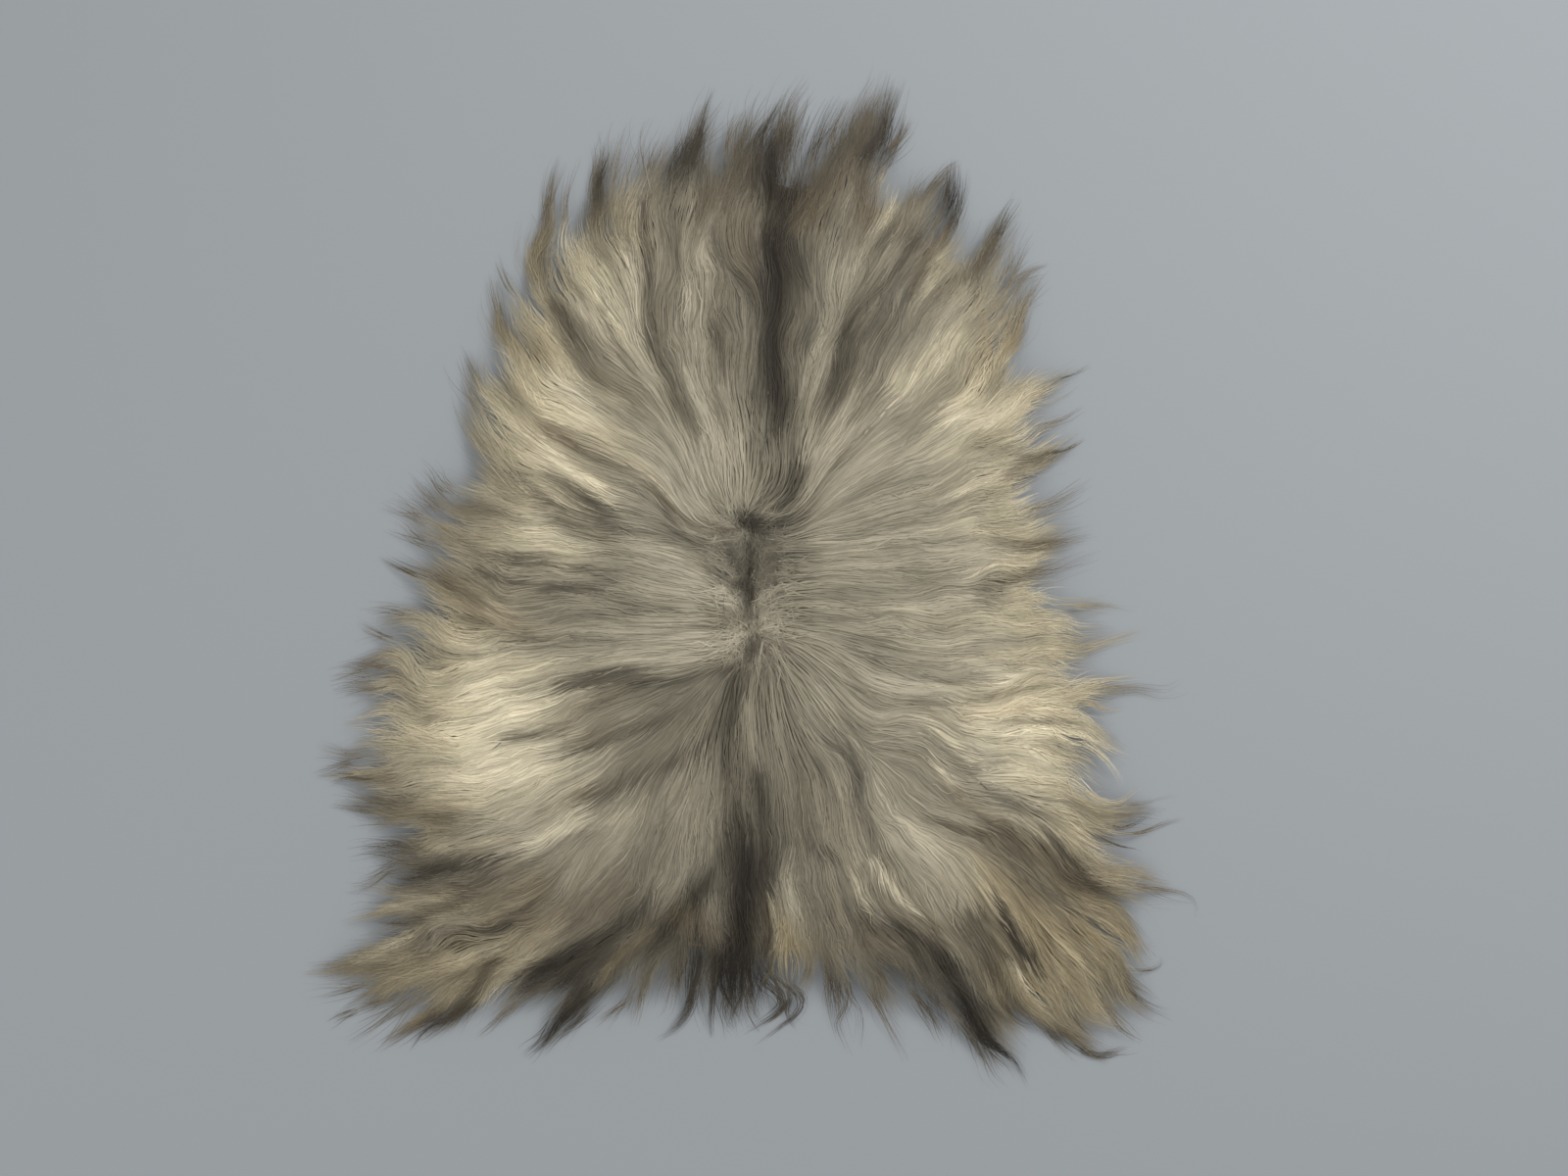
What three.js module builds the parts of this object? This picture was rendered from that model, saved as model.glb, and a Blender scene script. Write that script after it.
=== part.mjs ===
// A long-woolled sheepskin lying flat, wool side up.
//
// Millimetres, +Z up. The origin is the middle of the footprint, on the
// surface that the skin lies on. +Y runs along the animal's back, towards the
// neck, which is the narrow end. The pelt is one piece: a flat leather hide
// whose wool parts along the back and falls outwards to long, separate locks.
import * as THREE from "three";

// ---- driving sizes ---------------------------------------------------------
const LOFT = 50;            // height of the wool at its fullest, beside the parting
const PARTING_DEPTH = 15;   // how far the wool drops along the parting
const PIT_DEPTH = 7;        // extra drop at the whorl, just above the middle
const PIT = { x: 10, y: 55, radius: 34 };
const TIP_HEIGHT = 4;       // a lock's end, lying on the surface
const VALLEY_HEIGHT = 7;    // the edge between two locks
const SKIN_SHARE = 0.8;     // the leather's edge, as a share of the wool's reach
const SIDE_STEPS = 3;       // outline points for each side of a lock
const SIDE_BOW = 0.05;      // how full a lock's side is, as a share of its length
const SMOOTH_SPAN = 11;     // neighbours each way that the leather's edge averages

// The parting, from the whorl end by the shoulders to the rump end. Wool fans
// out from its two ends and leaves its sides squarely.
const PARTING = { top: { x: 30, y: 145 }, bottom: { x: 10, y: -145 } };
const PARTING_FOLLOW = 0.6; // share of a point's own y at which its wool is rooted

// ---- the wool's outline: one row per lock, clockwise from the neck ---------
// tip = where the lock ends, gap = the edge between it and the next lock
const LOCKS = [
  // tipX, tipY,  gapX, gapY
  [  -28,   477,   -12,   425],
  [   39,   475,    60,   417],
  [  146,   497,   154,   402],
  [  208,   411,   231,   338],
  [  283,   372,   277,   306],
  [  298,   296,   275,   233],
  [  340,   206,   302,   178],
  [  342,   138,   300,   105],
  [  348,    41,   317,    -4],
  [  375,   -58,   340,   -85],
  [  395,  -113,   346,  -142],
  [  386,  -175,   361,  -197],
  [  420,  -233,   385,  -268],
  [  430,  -306,   385,  -344],
  [  416,  -383,   391,  -400],
  [  424,  -433,   391,  -438],
  [  397,  -457,   372,  -454],
  [  364,  -475,   298,  -438],
  [  282,  -497,   175,  -423],
  [  162,  -462,   125,  -407],
  [  108,  -448,    84,  -402],
  [   58,  -438,    27,  -419],
  [    2,  -448,   -16,  -421],
  [  -32,  -452,   -48,  -405],
  [  -75,  -456,   -84,  -407],
  [ -107,  -451,  -125,  -417],
  [ -206,  -470,  -197,  -421],
  [ -247,  -448,  -261,  -431],
  [ -321,  -462,  -312,  -434],
  [ -351,  -457,  -340,  -421],
  [ -398,  -435,  -387,  -407],
  [ -430,  -388,  -363,  -337],
  [ -391,  -338,  -360,  -315],
  [ -383,  -303,  -352,  -281],
  [ -372,  -262,  -356,  -242],
  [ -397,  -216,  -391,  -207],
  [ -414,  -194,  -364,  -175],
  [ -403,  -165,  -370,  -153],
  [ -395,  -140,  -356,  -122],
  [ -397,  -111,  -370,   -98],
  [ -391,   -86,  -348,   -70],
  [ -373,   -45,  -321,   -21],
  [ -350,    17,  -313,    33],
  [ -333,    60,  -306,    72],
  [ -317,    93,  -273,   124],
  [ -278,   186,  -255,   204],
  [ -269,   225,  -240,   247],
  [ -244,   298,  -208,   296],
  [ -191,   396,  -155,   364],
  [ -129,   435,   -98,   409],
];

// ---- how the wool's height runs from the parting to the edge ---------------
const PROFILE = [
  // share of the reach, share of the loft
  { reach: 0.03, height: 1.00 },
  { reach: 0.14, height: 1.00 },
  { reach: 0.32, height: 1.00 },
  { reach: 0.50, height: 0.97 },
  { reach: 0.68, height: 0.82 },
  { reach: 0.82, height: 0.58 },
  { reach: 0.92, height: 0.32 },
  { reach: 1.00, height: 0.00 },  // the rim, whose height is the lock's own
];

// ---- the main folds of the wool: heavy locks that stand up or lie low ------
// bearing = degrees clockwise from the neck, seen from the middle of the pelt
const FOLDS = [
  // bearing, width in degrees, rise in millimetres
  [   2,  5, -6],
  [  16,  9,  4],
  [  33,  6, -5],
  [  47,  9,  4],
  [  66,  8, -3],
  [  88, 11,  3],
  [ 108,  7, -4],
  [ 124,  9,  4],
  [ 143,  7, -5],
  [ 160,  7,  3],
  [ 181,  6, -6],
  [ 200,  8,  4],
  [ 221,  7, -4],
  [ 240,  9,  4],
  [ 262,  8, -4],
  [ 281,  9,  4],
  [ 303,  7, -4],
  [ 318,  7,  4],
  [ 336,  6, -4],
  [ 350,  6,  4],
];

// ---- outline ---------------------------------------------------------------
const clamp = (v, lo, hi) => Math.min(hi, Math.max(lo, v));
const mix = (a, b, t) => a + (b - a) * t;

// The point of the parting from which the wool at height y grows.
function rootOf(y) {
  const ry = clamp(y * PARTING_FOLLOW, PARTING.bottom.y, PARTING.top.y);
  const t = (ry - PARTING.bottom.y) / (PARTING.top.y - PARTING.bottom.y);
  return { x: mix(PARTING.bottom.x, PARTING.top.x, t), y: ry };
}

// One side of a lock, from a to just before b, bowed outwards. The outline runs
// clockwise, so outwards is to the left of the way it runs.
function lockSide(a, b, hA, hB) {
  const dx = b.x - a.x, dy = b.y - a.y;
  const points = [];
  for (let i = 0; i < SIDE_STEPS; i++) {
    const t = i / SIDE_STEPS;
    const bow = SIDE_BOW * Math.sin(Math.PI * t);
    points.push({ x: a.x + dx * t - dy * bow, y: a.y + dy * t + dx * bow, height: mix(hA, hB, t) });
  }
  return points;
}

const outline = [];
LOCKS.forEach(([tipX, tipY, gapX, gapY], i) => {
  const [, , lastX, lastY] = LOCKS[(i + LOCKS.length - 1) % LOCKS.length];
  const last = { x: lastX, y: lastY }, tip = { x: tipX, y: tipY }, gap = { x: gapX, y: gapY };
  outline.push(...lockSide(last, tip, VALLEY_HEIGHT, TIP_HEIGHT));
  outline.push(...lockSide(tip, gap, TIP_HEIGHT, VALLEY_HEIGHT));
});
const COUNT = outline.length;

for (const p of outline) {
  p.root = rootOf(p.y);
  p.reach = Math.hypot(p.x - p.root.x, p.y - p.root.y);
  p.ux = (p.x - p.root.x) / p.reach;
  p.uy = (p.y - p.root.y) / p.reach;
  p.bearing = (Math.atan2(p.x, p.y) * 180 / Math.PI + 360) % 360;
}

// The reach that neighbours share: inside the locks' free ends the pelt is
// smooth, so its rings follow this instead of every tip and gap.
outline.forEach((p, i) => {
  let sum = 0, weight = 0;
  for (let k = -SMOOTH_SPAN; k <= SMOOTH_SPAN; k++) {
    const w = SMOOTH_SPAN + 1 - Math.abs(k);
    sum += outline[(i + k + COUNT) % COUNT].reach * w;
    weight += w;
  }
  p.even = Math.min(sum / weight, p.reach * 1.06);
});

// ---- height ----------------------------------------------------------------
function foldAt(bearing) {
  let rise = 0;
  for (const [at, width, height] of FOLDS) {
    const off = Math.abs(((bearing - at + 540) % 360) - 180) / width;
    if (off < 1) rise += height * (1 + Math.cos(Math.PI * off)) / 2;
  }
  return rise;
}

function heightAt(p, x, y, row) {
  const { reach, height } = row;
  if (reach === 1) return p.height;
  const fold = foldAt(p.bearing) * Math.sin(Math.PI * clamp((reach - 0.03) / 0.97, 0, 1));
  const along = clamp(1 - (Math.hypot(x - p.root.x, y - p.root.y) / (LOFT * 1.7)), 0, 1);
  const parting = PARTING_DEPTH * along * along;
  const pit = PIT_DEPTH * Math.exp(-((x - PIT.x) ** 2 + (y - PIT.y) ** 2) / PIT.radius ** 2);
  return Math.max(p.height + 2, LOFT * height - parting - pit + fold);
}

// Closes a ring of points with triangles that face up or down.
function capRing(vertices, triangles, ring, up) {
  const flat = ring.map((v) => new THREE.Vector2(vertices[3 * v], vertices[3 * v + 1]));
  for (const [a, b, c] of THREE.ShapeUtils.triangulateShape(flat, [])) {
    const area = (flat[b].x - flat[a].x) * (flat[c].y - flat[a].y)
      - (flat[c].x - flat[a].x) * (flat[b].y - flat[a].y);
    if (area > 0 === up) triangles.push(ring[a], ring[b], ring[c]);
    else triangles.push(ring[a], ring[c], ring[b]);
  }
}

// ---- the closed body -------------------------------------------------------
// Rings of points run from the parting to the rim. Under the rim lies a second
// ring on the surface, and the underside is one flat face.
function peltGeometry() {
  const vertices = [], triangles = [];
  const put = (x, y, z) => vertices.push(x, y, z) / 3 - 1;
  const rings = PROFILE.map((row, r) => outline.map((p) => {
    // inner rings follow the even reach, outer ones lean towards the true rim
    const share = clamp((row.reach - SKIN_SHARE) / (1 - SKIN_SHARE), 0, 1);
    const reach = mix(p.even, p.reach, r === PROFILE.length - 1 ? 1 : share) * row.reach;
    const x = p.root.x + p.ux * reach, y = p.root.y + p.uy * reach;
    return put(x, y, heightAt(p, x, y, row));
  }));
  const floor = outline.map((p) => put(p.x, p.y, 0));

  for (let i = 0; i < COUNT; i++) {
    const n = (i + 1) % COUNT;
    for (let r = 0; r + 1 < rings.length; r++) {
      const a = rings[r][i], b = rings[r][n], c = rings[r + 1][n], d = rings[r + 1][i];
      triangles.push(a, b, c, a, c, d);
    }
    const rim = rings[rings.length - 1];
    triangles.push(rim[i], rim[n], floor[n], rim[i], floor[n], floor[i]);
  }
  capRing(vertices, triangles, rings[0], true);
  capRing(vertices, triangles, floor, false);

  const geometry = new THREE.BufferGeometry();
  geometry.setAttribute("position", new THREE.Float32BufferAttribute(vertices, 3));
  geometry.setIndex(triangles);
  geometry.computeVertexNormals();
  return geometry;
}

// ---- the pelt --------------------------------------------------------------
const wool = new THREE.MeshStandardMaterial({ color: 0x9c917b, roughness: 0.85, metalness: 0 });

const sheepskin = new THREE.Mesh(peltGeometry(), wool);
sheepskin.name = "sheepskin";

const pelt = new THREE.Group();
pelt.add(sheepskin);

export default pelt;
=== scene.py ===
import math

import bmesh
import bpy
import numpy as np
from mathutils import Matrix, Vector
from mathutils.bvhtree import BVHTree


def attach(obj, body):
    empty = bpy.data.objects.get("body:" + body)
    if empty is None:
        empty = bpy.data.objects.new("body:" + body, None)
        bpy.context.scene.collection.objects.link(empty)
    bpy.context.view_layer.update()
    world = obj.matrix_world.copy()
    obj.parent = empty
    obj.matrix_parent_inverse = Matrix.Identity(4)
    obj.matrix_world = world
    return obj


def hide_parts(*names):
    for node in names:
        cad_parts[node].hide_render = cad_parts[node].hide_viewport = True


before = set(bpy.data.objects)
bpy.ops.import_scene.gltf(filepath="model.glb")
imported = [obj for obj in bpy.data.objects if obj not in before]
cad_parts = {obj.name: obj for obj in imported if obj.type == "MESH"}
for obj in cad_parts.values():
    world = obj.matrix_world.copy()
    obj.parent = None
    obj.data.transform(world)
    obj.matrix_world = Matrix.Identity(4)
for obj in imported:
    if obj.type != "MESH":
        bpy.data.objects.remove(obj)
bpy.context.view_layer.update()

RNG = np.random.default_rng(20)

# A long-woolled sheepskin, lying flat, wool side up. Lengths in the tables are
# photo pixels (1600 x 1200, y down), because each row was read off one by one. One
# pixel is PX metres on the floor. World units are metres.
PX = 0.00097
MID = (755.0, 590.0)           # the photo pixel over the row's origin
LENS_AT = (800.0, 600.0)       # the photo's middle
LENS_UP = 1.70                 # the lens above the floor, metres
LOFT_SHARE = 0.95              # wool surface, as a share of the solid's height

# ----------------------------------------------------------------------------
# Tables read off one by one
# ----------------------------------------------------------------------------
# The wool's outline, clockwise from the neck: a lock's tip, then the gap after it.
OUTLINE = """
726,98 738,150  795,100 817,160  905,78 914,176  972,166 998,245  1038,202 1041,275
1062,285 1038,350  1105,378 1066,406  1108,448 1064,482  1114,548 1082,594  1142,650 1106,678
1162,706 1112,736  1153,770 1127,793  1188,830 1152,866  1198,905 1152,945  1184,985 1158,1002
1192,1036 1158,1042  1164,1061 1138,1058  1130,1080 1062,1042  1046,1102 930,1024  922,1060 893,1004
868,1040 842,990  815,1024 783,1012  757,1034 738,1006  722,1040 704,990  678,1044 664,996
648,1045 626,1020  541,1075 558,1022  500,1048 486,1034  424,1066 432,1036  397,1062 408,1024
345,1038 356,1010  312,990 388,942  352,938 388,915  360,902 392,880  371,860 390,840
346,813 354,803  328,790 380,772  340,764 376,750  348,734 388,716  346,704 376,691
352,679 398,662  370,636 426,612  394,572 436,556  412,528 442,516  428,494 476,462
468,398 492,380  478,358 508,335  503,283 541,285  558,182 592,216  622,142 654,168
"""

# The parting down the back, from which the wool falls both ways.
PARTING = "762,533 765,560 767,600 769,650"

# How the wool lies: one row per lock, from where it leaves the parting to its tip.
FLOW = """
748,530 736,515 724,494 716,470 712,440 700,415 690,390 682,360 678,330 680,300 685,270 684,240 682,215 690,190 697,165 706,140 716,118 726,98
752,527 744,508 740,488 738,460 732,430 722,405 714,380 712,350 712,320 710,290 706,262 712,235 716,210 720,190 722,165 730,140 738,115
756,524 756,504 756,480 752,450 748,420 742,395 738,370 742,345 736,325 730,300 738,280 728,262 725,245 730,225 736,200 742,178 750,158 764,130 776,110
758,522 764,500 769,470 770,440 764,410 764,385 770,355 776,330 772,305 760,285 744,272 738,255 740,230 746,205 754,180 764,155 776,130 792,104
760,522 770,505 778,488 781,466 776,440 780,410 780,380 780,350 780,320 782,300 784,275 782,250 780,225 782,195 786,165 792,140 798,115 803,92
760,524 774,512 786,500 792,484 793,466 788,440 792,410 790,380 788,350 792,320 796,295 795,270 792,245 796,225 804,205 812,188 818,168 820,150
762,525 778,516 791,506 800,492 804,468 804,440 810,415 810,390 806,365 806,340 812,318 814,295 808,270 806,245 812,220 820,198 828,182 836,162 845,138 860,110
763,527 780,519 795,510 806,498 812,478 814,455 818,430 822,405 826,385 836,360 846,338 848,315 842,295 846,272 856,250 862,228 866,205 874,185 882,162 892,135 908,100
764,529 782,523 798,515 810,503 818,486 824,460 834,425 846,402 852,380 857,358 862,338 872,316 888,302 902,288 910,268 922,248 934,232 944,214 954,196 966,178 972,160
765,531 784,527 800,520 813,510 822,494 832,470 852,436 868,412 878,388 888,366 898,345 908,325 918,300 928,280 940,262 954,246 966,230 974,212 976,190
766,533 786,531 802,526 817,516 828,503 836,488 848,472 872,448 895,425 915,400 930,378 944,354 958,332 972,312 988,292 1000,272 1010,255 1020,238 1030,220 1040,200
768,536 788,536 806,531 822,521 834,508 846,492 866,472 900,446 930,425 955,405 975,385 985,362 1000,345 1015,330 1025,310 1034,292 1046,280 1062,272
838,512 870,488 905,466 940,446 972,425 995,408 1010,388 1022,365 1032,345 1040,320 1052,300
840,520 876,500 910,486 945,468 978,454 1005,440 1025,425 1045,408 1065,398 1085,388 1108,376
845,528 885,514 925,503 960,490 990,474 1018,460 1044,448 1066,436 1084,428 1104,416
830,542 865,535 905,525 945,515 980,502 1010,490 1040,478 1065,468 1085,460 1110,450
825,552 870,550 910,545 950,538 985,530 1015,525 1045,520 1075,512 1100,505
810,558 850,560 890,555 930,552 970,548 1005,545 1040,545 1070,540 1098,535
800,572 835,575 870,571 905,572 935,565 965,560 995,560 1030,558 1065,556 1090,550 1120,545
790,585 815,588 850,582 890,585 925,588 955,592 985,592 1005,582 1025,576 1050,580 1075,572 1100,568
782,600 810,603 845,600 880,605 920,608 955,600 985,598 1020,600 1055,598 1085,596 1115,595
782,618 815,619 850,620 885,622 920,620 955,622 990,618 1030,615 1065,615 1100,618 1130,618 1160,620
785,632 815,632 850,633 880,638 912,632 945,640 980,640 1020,638 1060,638 1095,642 1125,648
785,640 815,643 845,648 872,654 898,662 922,666 950,668 985,668 1020,665 1060,662 1095,665 1120,658 1150,650 1172,645
788,648 818,655 846,668 870,685 893,700 922,706 955,708 985,714 1012,714 1040,706 1070,698 1100,700 1130,695 1165,696
786,652 812,668 838,690 856,710 874,728 898,738 925,732 948,738 970,748 998,750 1025,746 1060,742 1088,742 1115,752 1135,765 1152,776
784,655 806,678 828,702 846,725 862,745 882,756 908,752 932,758 955,772 975,790 1000,800 1030,800 1055,802 1080,808 1105,818 1130,822 1150,812 1165,800
782,660 800,690 815,718 830,742 848,760 864,768 878,782 882,805 888,825 902,838 920,835 945,842 965,855 990,862 1015,870 1035,885 1050,905 1075,920 1105,928 1130,940 1155,958
890,765 920,772 945,785 965,802 985,818 1010,828 1040,834 1060,848 1072,868 1086,886 1105,898 1130,905 1160,908 1195,908
905,745 940,755 965,768 990,780 1015,785 1040,782 1062,786 1085,797 1105,808 1122,822 1145,830 1170,828 1190,830
940,735 975,748 1005,762 1035,768 1062,772 1088,782 1108,798 1124,814 1142,820 1162,806
1000,735 1030,735 1060,735 1085,740 1105,748 1122,762 1134,778 1145,795
775,680 772,720 776,760 782,800 784,840 785,880 788,910 794,940 790,970 786,1000 796,1015
790,680 792,715 798,750 806,785 812,820 812,850 806,880 803,905 808,932 816,958 822,980 818,1005 812,1025
800,690 808,720 822,750 838,775 850,800 856,822 852,845 860,865 868,890 872,912 882,930 900,948 920,965 935,985 950,1005
812,760 824,795 832,825 836,850 846,868 860,884 864,905 868,930 872,955 878,980 890,1005 902,1035 915,1060
802,800 812,840 818,870 826,900 834,930 840,955 848,980 856,1005 862,1030 866,1052
866,740 876,765 884,790 884,815 888,840 896,862 903,885 908,905 922,925 940,942 955,962 970,985 985,1012 996,1040 1012,1062 1030,1082 1046,1102
885,770 900,800 912,825 926,845 942,866 960,885 978,905 992,930 1006,955 1016,982 1026,1008 1040,1030 1058,1046 1080,1058
905,800 925,825 948,846 972,862 996,880 1014,902 1028,926 1042,948 1058,972 1074,998 1090,1022 1108,1044 1128,1054
930,815 958,834 988,848 1014,862 1034,884 1052,908 1076,928 1098,948 1118,970 1136,994 1152,1018 1170,1036 1192,1040
950,812 985,832 1018,846 1044,864 1060,888 1082,908 1108,920 1130,932 1150,952 1162,975 1172,998 1188,985
880,925 905,945 925,968 942,992 960,1015 980,1042 996,1066 1010,1092
865,935 880,958 896,980 912,1002 930,1022 945,1044
765,690 760,730 762,770 764,810 766,850 768,890 768,930 770,965 776,1000 780,1030
752,690 748,730 746,770 746,810 748,850 752,890 755,930 756,965 752,1000 750,1030
745,695 738,735 732,775 730,815 726,855 724,890 728,925 734,960 730,990 726,1030
742,690 728,725 718,760 710,795 702,828 697,858 696,885 704,915 706,945 702,975 704,1000 698,1030 682,1052
738,692 712,732 692,770 678,805 668,838 662,868 656,898 664,925 656,950 640,975 624,1000 612,1020
735,690 700,732 668,772 642,808 622,840 604,870 586,898 566,920 545,936 518,946 492,952 470,948 450,953 438,966 420,980 395,988 365,992 338,994 312,992
690,810 672,840 650,868 630,895 610,920 588,945 562,965 538,980 515,988 490,996 470,1012 458,1030 440,1045 420,1060
640,860 612,892 585,918 556,940 528,958 500,970 474,982 450,992 422,1002 395,1012 368,1025 344,1038
705,880 688,910 668,936 646,960 622,984 598,1008 578,1032 560,1055 541,1076
720,890 708,920 690,948 672,970 656,994 648,1020 645,1048
695,850 676,885 654,915 630,940 604,962 576,982 548,998 524,1014 504,1032 488,1050
655,840 630,875 602,905 574,930 545,955 520,975 498,1000 482,1022 462,1040 440,1052 424,1066
733,686 698,714 662,738 628,760 592,785 556,805 520,818 482,826 446,832 410,830 375,822 346,814
732,688 694,722 660,752 626,782 590,812 555,832 520,845 485,858 452,868 420,874 388,866 371,860
730,692 695,735 660,770 628,805 595,832 562,856 528,872 494,886 460,895 428,902 395,905 360,903
728,700 695,748 662,790 632,822 600,850 568,876 534,898 500,912 465,920 435,925 405,932 378,938 350,942
736,682 698,700 662,716 628,732 592,750 556,762 522,776 488,784 452,782 420,786 388,792 358,795 330,790
738,676 700,688 662,696 628,706 594,722 560,738 526,750 492,762 460,766 430,764 404,760 374,752 345,764
740,670 704,676 668,680 632,685 598,694 564,704 532,714 500,726 468,732 440,742 418,740 402,730 382,728 364,736 350,735
742,662 706,665 670,668 634,672 600,676 566,684 534,690 502,698 470,704 444,716 424,714 406,698 386,700 362,700 345,704
744,654 708,655 672,656 636,658 602,660 568,664 536,670 504,676 474,682 448,692 428,690 412,672 394,668 372,674 352,680
744,644 708,644 672,646 636,646 602,646 570,648 540,652 510,654 482,660 458,656 438,642 414,632 392,632 370,636
745,634 708,632 672,632 636,630 602,628 570,630 540,634 514,632 488,622 464,606 444,598 424,588 402,578 390,572
742,622 704,620 668,617 632,608 600,602 570,604 540,604 515,606 492,594 472,582 450,572 428,560 404,548
740,608 704,602 670,596 636,586 605,582 575,582 545,580 518,578 496,570 474,558 452,548 430,540 408,530
740,594 706,582 674,572 642,565 612,560 582,556 552,553 522,550 496,548 470,542 450,530 430,515 414,504
742,578 712,562 684,554 656,552 628,550 600,545 572,540 542,535 512,530 482,524 456,512 434,496
745,562 712,553 686,540 662,530 636,524 608,515 578,500 550,486 522,474 500,458 486,442 478,420 470,398
742,545 706,542 684,520 668,500 645,488 615,480 590,468 565,455 540,445 520,430 505,412 490,395 480,375 474,356
732,532 702,508 686,482 670,464 648,452 622,440 598,428 574,414 550,400 532,382 520,360 512,340 505,315 502,285
722,520 706,490 694,462 678,440 656,424 632,412 610,398 590,382 570,362 554,342 540,322 530,302 520,285 508,272
716,508 702,474 690,446 674,420 654,400 632,386 610,368 592,350 578,330 565,308 556,285 552,262 556,240 560,215 560,182
714,490 700,452 686,425 672,400 655,378 638,356 622,336 608,315 597,292 588,270 578,250 574,228 582,204
714,475 702,435 690,405 676,380 662,355 650,330 642,305 632,282 620,262 610,245 607,225 608,200 615,175 622,145
718,460 706,420 694,394 682,368 671,343 664,318 660,293 656,268 652,245 650,220 654,198 662,178 670,162
724,450 711,410 698,382 688,354 681,328 679,300 682,270 686,245 686,220 687,195 692,170 702,148
768,540 790,541 808,538 826,528 840,512
770,545 792,547 812,545 832,537
772,552 786,556 800,557
770,562 778,560 792,557 806,556
768,578 776,570 788,564 802,562
768,592 775,583 786,575 802,572
768,606 774,596 786,587 802,583
769,618 778,609 790,603 804,600
770,628 780,621 792,617 806,616
771,638 782,633 794,630 806,630
772,646 782,643 794,642
774,652 784,652 796,656
760,538 748,539 735,539 720,539
760,546 748,547 734,546 718,544
758,556 746,554 732,551 718,547
756,566 746,562 732,556 718,549
756,578 748,572 736,564 722,555
757,590 750,583 740,574 726,562
758,602 751,594 741,584 728,572
758,612 750,606 740,598 728,588
758,622 748,618 736,612 724,606
758,632 747,630 735,627 722,624
758,642 746,642 734,641 722,640
760,650 748,652 736,655 722,658
766,652 760,664 752,676 742,690
770,654 769,670 767,688
773,654 779,668 786,684
764,560 764,575 764,590 764,600
762,640 762,630 762,620
"""

# Colours, sRGB of 255, named for what they are.
TONE = {
    "mid": (148, 141, 124), "light": (175, 167, 147), "cream": (213, 202, 173), "bright": (237, 226, 198),
    "grey": (129, 122, 106), "slate": (101, 95, 81), "dark": (68, 62, 52), "black": (35, 31, 27),
    "brown": (106, 94, 75), "tan": (157, 141, 108), "sand": (189, 176, 147), "deep": (52, 46, 38),
}
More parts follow.
